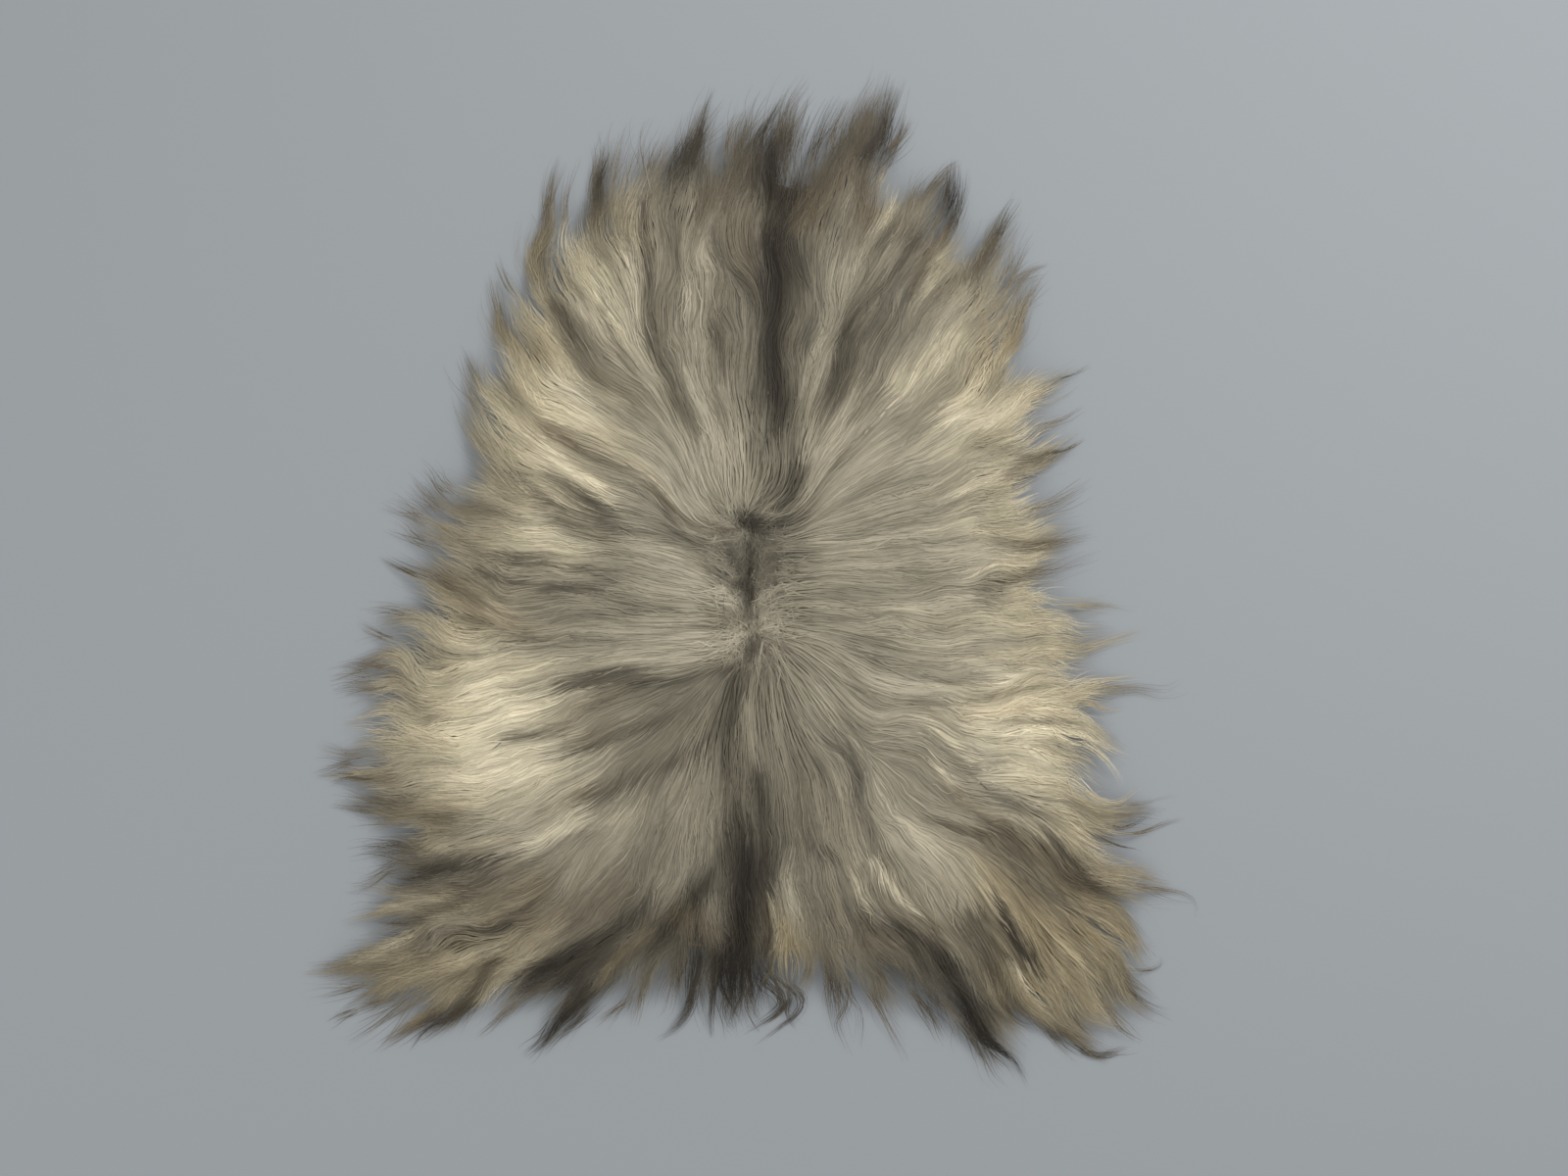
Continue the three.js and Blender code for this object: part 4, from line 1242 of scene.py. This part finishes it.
def tuft(line, count, wide, narrow, r, tone=None, thick=(0.00032, 0.00072), ends=(0.5, 1.05), own=0.75, lift=(0.001, 0.006), skew=0.8):
    """Fibres that draw together along a line, from root to tip."""
    t = np.linspace(0, 1, len(line))
    d = unit(np.gradient(line, axis=0))
    total = np.linalg.norm(np.diff(line, axis=0), axis=1).sum()
    sd = np.stack([-d[:, 1], d[:, 0]], axis=1)
    first = r.uniform(-0.05, 0.3, (count, 1))
    end = ends[0] + (ends[1] - ends[0]) * r.random((count, 1)) ** skew
    pos = first + (end - first) * edge_u[None]
    at = np.clip(pos, 0, 1)
    c = np.stack([np.interp(at, t, line[:, j]) for j in (0, 1)], axis=-1)
    q = np.stack([np.interp(at, t, sd[:, j]) for j in (0, 1)], axis=-1)
    ahead = np.stack([np.interp(at, t, d[:, j]) for j in (0, 1)], axis=-1)
    c = c + ahead * ((pos - at) * total)[..., None]
    a = np.clip(r.normal(0, 0.5, (count, 1)), -1.1, 1.1)
    b = r.normal(0, 0.75, (count, 1))
    in_ = step_up(at, 0.0, 0.9)
    off = a * wide * (1 - in_) + (0.4 * a + b) * narrow * in_
    off = off + r.normal(0, 0.8, (count, 1)) * np.sin(at * r.uniform(3, 8, (count, 1)) + r.uniform(0, 6, (count, 1))) * at
    c = c + q * off[..., None]
    up = r.uniform(*lift, (count, 1))
    ground = surface.at(c)[..., 0]
    past = step_up(30 - reach.at(c)[..., 0], 0, 44)
    height = ground * (1 - 0.3 * past) - 0.0010 * (1 - step_up(pos - first, 0, 0.12)) + up * np.sin(at * np.pi * 0.92) * at
    loose["p"].append(c)
    loose["z"].append(np.maximum(height, 0.0011 + r.uniform(0, 0.0018, (count, 1))))
    loose["width"].append(r.uniform(*thick, count))
    loose["tone"].append(np.tile(linear(TONE[tone]) if tone else np.zeros(3), (count, 1)))
    loose["own"].append(np.full(count, own if tone else 0.0))
    loose["tip"].append(np.full(count, 0.15))
    loose["dark"].append(r.normal(0, 0.10, count))
    loose["fade"].append(np.full(count, 0.0 if tone else 0.5) * r.uniform(0.4, 1.3, count))
    loose["shift"].append(r.normal(0, 1, (count, 2)) * np.array([6.0, 2.0]))


for k, row in enumerate(WISPS.strip().splitlines()):
    head, path = row.split("|")
    tone, count, wide, narrow = head.split()
    tuft(curve_through(line_of(path), 1.0), int(int(count) * 1.3), float(wide), float(narrow), np.random.default_rng(500 + k), tone)

# each lock of the outline: its main tip, and lesser ones beside it
for k in range(len(tips)):
    r = np.random.default_rng(900 + k)
    span = np.linalg.norm(gaps[k] - gaps[k - 1])
    spread = int(np.clip(span / 11, 2, 6))
    for j in range(spread):
        f = (j + 0.5) / spread
        foot = gaps[k - 1] * (1 - f) + gaps[k] * f
        aim = tips[k] * (1 - abs(f - 0.5)) + foot * abs(f - 0.5)
        aim = aim + r.normal(0, 2.5, 2)
        back = run(aim[None], np.array([80.0]), 40, -1)[0][::-1]
        tuft(back, int(span * 1.1 / spread) + 6, min(10.0, span / spread * 0.9), r.uniform(2.5, 8.0), r,
             thick=(0.0003, 0.0007), ends=(0.35, 1.05), lift=(0.0, 0.005), skew=1.3)

# and the fringe between them
r = np.random.default_rng(321)
used = sum(len(a) for a in loose["p"])
around = np.vstack([edge, edge[:1]])
arc = np.concatenate([[0], np.cumsum(np.linalg.norm(np.diff(around, axis=0), axis=1))])
PER_TUFT = 7
for _ in range(max(0, (EDGE_FIBRES - used) // PER_TUFT)):
    sx = r.uniform(0, arc[-1])
    at = np.array([np.interp(sx, arc, around[:, 0]), np.interp(sx, arc, around[:, 1])])
    back = run(at[None], np.array([64.0]), 32, -1)[0]
    deep_in = r.beta(1.7, 1.5)
    start = back[int(32 * deep_in)]
    back = run(start[None], np.array([r.uniform(45, 75)]), 30, -1)[0][::-1]
    fine = 0.55 + 0.45 * deep_in
    tuft(back, PER_TUFT, r.uniform(3, 8), r.uniform(3, 15), r, thick=(0.0003 * fine, 0.0010 * fine), ends=(0.5, 1.15), lift=(0.0, 0.006), skew=1.1)

loose = {k: np.concatenate(v) for k, v in loose.items()}
loose["u"] = np.broadcast_to(edge_u, loose["z"].shape)


def ribbons(name, w, cols, seed):
    """One mesh of tapered ribbons, each on its own strip of the UV square."""
    r = np.random.default_rng(seed)
    p, z, u = w["p"], w["z"], w["u"]
    n, m = z.shape
    pos = np.concatenate([lifted(plan(p), z), z[..., None]], axis=-1)
    t = unit(np.gradient(pos, axis=1))
    up = facing.at(p)
    across = unit(np.cross(t, up))
    out = np.cross(across, t)
    roll = r.normal(0, 0.09, (n, 1)) + r.normal(0, 0.12, (n, 1)) * (u - 0.5)
    wide = across * np.cos(roll)[..., None] + out * np.sin(roll)[..., None]
    taper = np.minimum(1, 0.35 + 2.6 * u) * np.clip((1.0 - u) / np.maximum(1 - w["tip"][:, None], 0.05), 0, 1) ** 0.8
    half = w["width"][:, None] / 2 * np.maximum(taper, 0.10)
    left, right = pos - wide * half[..., None], pos + wide * half[..., None]
    verts = np.stack([left, right], axis=2)
    verts[..., 2] = np.maximum(verts[..., 2], 0.0004)
    lean = r.normal(0, 0.10, (n, 1, 1)) * across + r.normal(0, 0.05, (n, 1, 1)) * t
    normal = np.stack([up + lean - wide * 0.15, up + lean + wide * 0.15], axis=2)
    normal = unit(normal)

    d = heading(p)
    sideways = np.stack([-d[..., 1], d[..., 0]], axis=-1)
    look = p + d * w["shift"][:, None, 0:1] + sideways * w["shift"][:, None, 1:2]
    c = tint_and_shade.at(look)
    own = w["own"][:, None, None]
    c = c * (1 - own) + w["tone"][:, None, :] * own
    dull = w["fade"][:, None, None] * step_up(u, 0.5, 1.0)[..., None]
    c = c * (1 - dull) + linear(TONE["brown"]) * 0.75 * dull
    # painted shade: the first quarter of each fibre, where it dives into the fleece, is painted darker.
    root_shade = 0.86 + 0.14 * step_up(u, 0.0, 0.25)
    c = c * np.clip(1 + w["dark"][:, None], 0.4, 1.7)[..., None] * root_shade[..., None]
    c = np.repeat(np.clip(c, 0.004, 1)[:, :, None, :], 2, axis=2)

    idx = (np.arange(n)[:, None] * (m * 2) + np.arange(m - 1)[None] * 2)[..., None]
    quads = idx + np.array([0, 1, 3, 2])
    mesh = bpy.data.meshes.new(name)
    mesh.vertices.add(n * m * 2)
    mesh.vertices.foreach_set("co", verts.reshape(-1).astype(np.float32))
    nq = n * (m - 1)
    mesh.loops.add(nq * 4)
    mesh.loops.foreach_set("vertex_index", quads.reshape(-1).astype(np.int32))
    mesh.polygons.add(nq)
    mesh.polygons.foreach_set("loop_start", np.arange(0, nq * 4, 4, dtype=np.int32))
    mesh.polygons.foreach_set("use_smooth", np.ones(nq, bool))
    a = mesh.color_attributes.new("tint_and_shade", "FLOAT_COLOR", "POINT")
    rgba = np.concatenate([c.reshape(-1, 3), np.ones((n * m * 2, 1))], axis=1)
    a.data.foreach_set("color", rgba.reshape(-1).astype(np.float32))
    cell = np.array([1 / cols, 1 / math.ceil(n / cols)])
    at = np.stack([np.arange(n) % cols, np.arange(n) // cols], axis=1) * cell
    along_u = at[:, None, 0] + (0.02 + 0.96 * u) * cell[0]
    uv = np.stack([
        np.stack([along_u, np.broadcast_to(at[:, None, 1] + 0.06 * cell[1], (n, m))], axis=-1),
        np.stack([along_u, np.broadcast_to(at[:, None, 1] + 0.94 * cell[1], (n, m))], axis=-1),
    ], axis=2).reshape(-1, 2)
    layer = mesh.uv_layers.new(name="OFBake")
    layer.data.foreach_set("uv", uv[quads.reshape(-1)].reshape(-1).astype(np.float32))
    mesh.update(calc_edges=True)
    mesh.normals_split_custom_set_from_vertices(normal.reshape(-1, 3).astype(np.float32))
    o = bpy.data.objects.new(name, mesh)
    bpy.context.scene.collection.objects.link(o)
    return o


# ---- materials ------------------------------------------------------------------


def principled(name):
    mat = bpy.data.materials.new(name)
    mat.use_nodes = True
    nt = mat.node_tree
    return mat, nt, nt.nodes["Principled BSDF"]


def wool_material():
    mat, nt, bsdf = principled("wool_fibre")
    col = nt.nodes.new("ShaderNodeAttribute")
    col.attribute_name = "tint_and_shade"
    where = nt.nodes.new("ShaderNodeTexCoord")
    fine = nt.nodes.new("ShaderNodeTexNoise")
    fine.inputs["Scale"].default_value = 420
    fine.inputs["Detail"].default_value = 3
    nt.links.new(where.outputs["Object"], fine.inputs["Vector"])
    broad_ = nt.nodes.new("ShaderNodeTexNoise")
    broad_.inputs["Scale"].default_value = 38
    broad_.inputs["Detail"].default_value = 4
    nt.links.new(where.outputs["Object"], broad_.inputs["Vector"])
    vary = nt.nodes.new("ShaderNodeMapRange")
    vary.inputs["To Min"].default_value = 0.9
    vary.inputs["To Max"].default_value = 1.1
    nt.links.new(broad_.outputs["Fac"], vary.inputs["Value"])
    mix = nt.nodes.new("ShaderNodeVectorMath")
    mix.operation = "SCALE"
    nt.links.new(col.outputs["Color"], mix.inputs[0])
    nt.links.new(vary.outputs["Result"], mix.inputs["Scale"])
    nt.links.new(mix.outputs["Vector"], bsdf.inputs["Base Color"])
    rough = nt.nodes.new("ShaderNodeMapRange")
    rough.inputs["To Min"].default_value = 0.45
    rough.inputs["To Max"].default_value = 0.66
    nt.links.new(fine.outputs["Fac"], rough.inputs["Value"])
    nt.links.new(rough.outputs["Result"], bsdf.inputs["Roughness"])
    bump = nt.nodes.new("ShaderNodeBump")
    bump.inputs["Strength"].default_value = 0.12
    bump.inputs["Distance"].default_value = 0.0004
    nt.links.new(fine.outputs["Fac"], bump.inputs["Height"])
    nt.links.new(bump.outputs["Normal"], bsdf.inputs["Normal"])
    bsdf.inputs["Specular IOR Level"].default_value = 0.2
    bsdf.inputs["Sheen Weight"].default_value = 0.06
    bsdf.inputs["Sheen Roughness"].default_value = 0.5
    return mat


WOOL = wool_material()


def wool_pieces(stem, w, cols, seed):
    order = np.random.default_rng(seed).permutation(len(w["p"]))
    w = {k: np.asarray(v)[order] for k, v in w.items()}
    total, each = len(w["p"]), (w["z"].shape[1] - 1) * 2
    parts = math.ceil(total * each / 196000)
    cut = np.linspace(0, total, parts + 1).astype(int)
    for k in range(parts):
        o = ribbons(f"{stem}_{k + 1}", {key: v[cut[k]:cut[k + 1]] for key, v in w.items()}, cols, seed + k)
        o.data.materials.append(WOOL)
        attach(o, "root")
    print(stem, "fibres", total, "pieces", parts, "triangles", total * each)


wool_pieces("wool_body", body, 28, 4000)
wool_pieces("wool_ends", loose, 28, 5000)

# ----------------------------------------------------------------------------
# Undercoat and hide
# ----------------------------------------------------------------------------


def rooted(y):
    ry = np.clip(590 + (y - 590) * 0.6, 440, 740)
    return np.stack([790 - (ry - 440) / 300 * 20, ry], axis=-1)


def star_rings(border, shares):
    c = rooted(border[:, 1])
    return np.stack([c + (border - c) * f for f in shares], axis=0)


def closed_body(name, rings, top, bottom):
    """A body from rings of plan points, with a top and an underside."""
    k, n = rings.shape[:2]
    up, down = [], []
    for r in range(k):
        up.append(np.concatenate([lifted(plan(rings[r]), top[r]), top[r][:, None]], axis=1))
        down.append(np.concatenate([lifted(plan(rings[r]), top[r]), bottom[r][:, None]], axis=1))
    verts = np.vstack(up + down)
    faces = []
    base = k * n
    for r in range(k - 1):
        for i in range(n):
            j = (i + 1) % n
            a, b, c, d = r * n + i, r * n + j, (r + 1) * n + j, (r + 1) * n + i
            faces.append((a, b, c, d))
            faces.append((base + a, base + d, base + c, base + b))
    last = (k - 1) * n
    for i in range(n):
        j = (i + 1) % n
        faces.append((last + i, last + j, base + last + j, base + last + i))
    faces.append(tuple(range(n - 1, -1, -1)))
    faces.append(tuple(base + i for i in range(n)))
    mesh = bpy.data.meshes.new(name)
    mesh.from_pydata(verts.tolist(), [], faces)
    bm = bmesh.new()
    bm.from_mesh(mesh)
    bmesh.ops.triangulate(bm, faces=[f for f in bm.faces if len(f.verts) > 4])
    bmesh.ops.recalc_face_normals(bm, faces=bm.faces)
    bm.to_mesh(mesh)
    bm.free()
    mesh.polygons.foreach_set("use_smooth", np.ones(len(mesh.polygons), bool))
    o = bpy.data.objects.new(name, mesh)
    bpy.context.scene.collection.objects.link(o)
    return o


def even_loop(poly, count, soften):
    """A closed loop of evenly spaced points, softened."""
    q = np.vstack([poly, poly[:1]])
    s = np.concatenate([[0], np.cumsum(np.linalg.norm(np.diff(q, axis=0), axis=1))])
    at = np.linspace(0, s[-1], count, endpoint=False)
    p = np.stack([np.interp(at, s, q[:, 0]), np.interp(at, s, q[:, 1])], axis=1)
    for _ in range(soften):
        p = (np.roll(p, 1, axis=0) + np.roll(p, -1, axis=0) + 2 * p) / 4
    return p


under_edge = even_loop(gaps, 360, 9)
c = rooted(under_edge[:, 1])
uneven = smooth_noise(16, 91).at(under_edge)
under_edge = c + (under_edge - c) * (0.872 + 0.035 * uneven)
shares = np.concatenate([[0.015], np.linspace(0.04, 0.9, 34), [0.925, 0.95, 0.975, 1.0]])
rings = star_rings(under_edge, shares)
tops = []
for r, f in enumerate(shares):
    h = surface.at(rings[r])[..., 0] - 0.0006 - 0.0026 * (1 - step_up(f, 0.08, 0.24)) - 0.010 * step_up(f, 0.82, 1.0)
    tops.append(np.maximum(h, 0.0042))
tops[-1] = np.full(len(under_edge), 0.0036)
undercoat = closed_body("undercoat", rings, np.array(tops), np.full((len(shares), len(under_edge)), 0.0028))
v = np.empty(len(undercoat.data.vertices) * 3)
undercoat.data.vertices.foreach_get("co", v)
v = v.reshape(-1, 3)
flatp = LENS + (v[:, :2] - LENS) / (1 - v[:, 2:3] / LENS_UP)
px = np.stack([flatp[:, 0] / PX + MID[0], MID[1] - flatp[:, 1] / PX], axis=1)
# the undercoat takes the wool's colour a touch darker, as painted shade under the fibres.
a = undercoat.data.color_attributes.new("tint_and_shade", "FLOAT_COLOR", "POINT")
a.data.foreach_set("color", np.concatenate([tint_and_shade.at(px) * 0.97, np.ones((len(px), 1))], axis=1).reshape(-1).astype(np.float32))
undercoat.data.materials.append(WOOL)
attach(undercoat, "root")


def hide_material():
    mat, nt, bsdf = principled("suede_hide")
    where = nt.nodes.new("ShaderNodeTexCoord")
    broad_ = nt.nodes.new("ShaderNodeTexNoise")
    broad_.inputs["Scale"].default_value = 9
    broad_.inputs["Detail"].default_value = 6
    nt.links.new(where.outputs["Object"], broad_.inputs["Vector"])
    ramp = nt.nodes.new("ShaderNodeValToRGB")
    ramp.color_ramp.elements[0].position = 0.3
    ramp.color_ramp.elements[0].color = (0.40, 0.31, 0.20, 1)
    ramp.color_ramp.elements[1].position = 0.7
    ramp.color_ramp.elements[1].color = (0.60, 0.50, 0.36, 1)
    nt.links.new(broad_.outputs["Fac"], ramp.inputs["Fac"])
    nt.links.new(ramp.outputs["Color"], bsdf.inputs["Base Color"])
    nap = nt.nodes.new("ShaderNodeTexNoise")
    nap.inputs["Scale"].default_value = 900
    nap.inputs["Detail"].default_value = 3
    nt.links.new(where.outputs["Object"], nap.inputs["Vector"])
    rough = nt.nodes.new("ShaderNodeMapRange")
    rough.inputs["To Min"].default_value = 0.8
    rough.inputs["To Max"].default_value = 0.97
    nt.links.new(broad_.outputs["Fac"], rough.inputs["Value"])
    nt.links.new(rough.outputs["Result"], bsdf.inputs["Roughness"])
    pores = nt.nodes.new("ShaderNodeTexVoronoi")
    pores.inputs["Scale"].default_value = 260
    nt.links.new(where.outputs["Object"], pores.inputs["Vector"])
    both = nt.nodes.new("ShaderNodeMath")
    both.operation = "MULTIPLY_ADD"
    both.inputs[1].default_value = 0.5
    nt.links.new(pores.outputs["Distance"], both.inputs[0])
    nt.links.new(nap.outputs["Fac"], both.inputs[2])
    bump = nt.nodes.new("ShaderNodeBump")
    bump.inputs["Strength"].default_value = 0.35
    bump.inputs["Distance"].default_value = 0.0006
    nt.links.new(both.outputs["Value"], bump.inputs["Height"])
    nt.links.new(bump.outputs["Normal"], bsdf.inputs["Normal"])
    bsdf.inputs["Sheen Weight"].default_value = 0.25
    bsdf.inputs["Specular IOR Level"].default_value = 0.2
    return mat


hide_edge = even_loop(gaps, 260, 16)
c = rooted(hide_edge[:, 1])
hide_edge = c + (hide_edge - c) * 0.875
hide_shares = [0.03, 0.15, 0.3, 0.45, 0.6, 0.74, 0.86, 0.94, 0.985, 1.0]
hide_rings = star_rings(hide_edge, hide_shares)
dimple = smooth_noise(40, 51)
HIDE_TOP, HIDE_LOW = 0.0024, 0.0003
h_top = np.array([np.full(len(hide_edge), HIDE_TOP) for _ in hide_shares])
h_low = np.array([HIDE_LOW + 0.0002 * (1 + dimple.at(rg)[..., 0]) for rg in hide_rings])
h_top[-1] -= 0.0007
h_low[-1] += 0.0005
hide = closed_body("hide", hide_rings, h_top, h_low)
hide.data.materials.append(hide_material())
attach(hide, "root")
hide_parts("sheepskin")

# ----------------------------------------------------------------------------
# Floor, light and camera
# ----------------------------------------------------------------------------


def flat_material(name, rgb, rough):
    mat, nt, bsdf = principled(name)
    bsdf.inputs["Base Color"].default_value = (*rgb, 1)
    bsdf.inputs["Roughness"].default_value = rough
    return mat


floor_mesh = bpy.data.meshes.new("floor")
R = 30.0
floor_mesh.from_pydata([(-R, -R, 0), (R, -R, 0), (R, R, 0), (-R, R, 0)], [], [(0, 1, 2, 3)])
floor = bpy.data.objects.new("floor", floor_mesh)
bpy.context.scene.collection.objects.link(floor)
floor_mesh.materials.append(flat_material("floor_paper", (0.318, 0.342, 0.367), 0.9))


def area_light(name, at, aim, size, watts, colour=(1, 1, 1)):
    data = bpy.data.lights.new(name, "AREA")
    data.shape = "DISK"
    data.size = size
    data.energy = watts
    data.color = colour
    o = bpy.data.objects.new(name, data)
    o.location = at
    o.rotation_mode = "QUATERNION"
    o.rotation_quaternion = (Vector(aim) - Vector(at)).to_track_quat("-Z", "Y")
    bpy.context.scene.collection.objects.link(o)
    return o


area_light("key", (1.6, 1.5, 2.2), (0, 0, 0), 1.4, 50, (1.0, 0.99, 0.965))
area_light("fill", (-1.8, -0.9, 1.9), (0, 0, 0), 2.0, 12, (0.99, 0.99, 0.97))

world = bpy.data.worlds.new("studio")
bpy.context.scene.world = world
world.use_nodes = True
world.node_tree.nodes["Background"].inputs["Color"].default_value = (0.985, 0.985, 0.965, 1)
world.node_tree.nodes["Background"].inputs["Strength"].default_value = 0.6

cam_data = bpy.data.cameras.new("camera")
cam_data.sensor_width = 36.0
cam_data.lens = 18.0 / (800 * PX / LENS_UP)
cam_data.clip_start, cam_data.clip_end = 0.05, 100
camera = bpy.data.objects.new("camera", cam_data)
camera.location = (float(LENS[0]), float(LENS[1]), LENS_UP)
bpy.context.scene.collection.objects.link(camera)
bpy.context.scene.camera = camera

bpy.context.scene.view_settings.view_transform = "Standard"
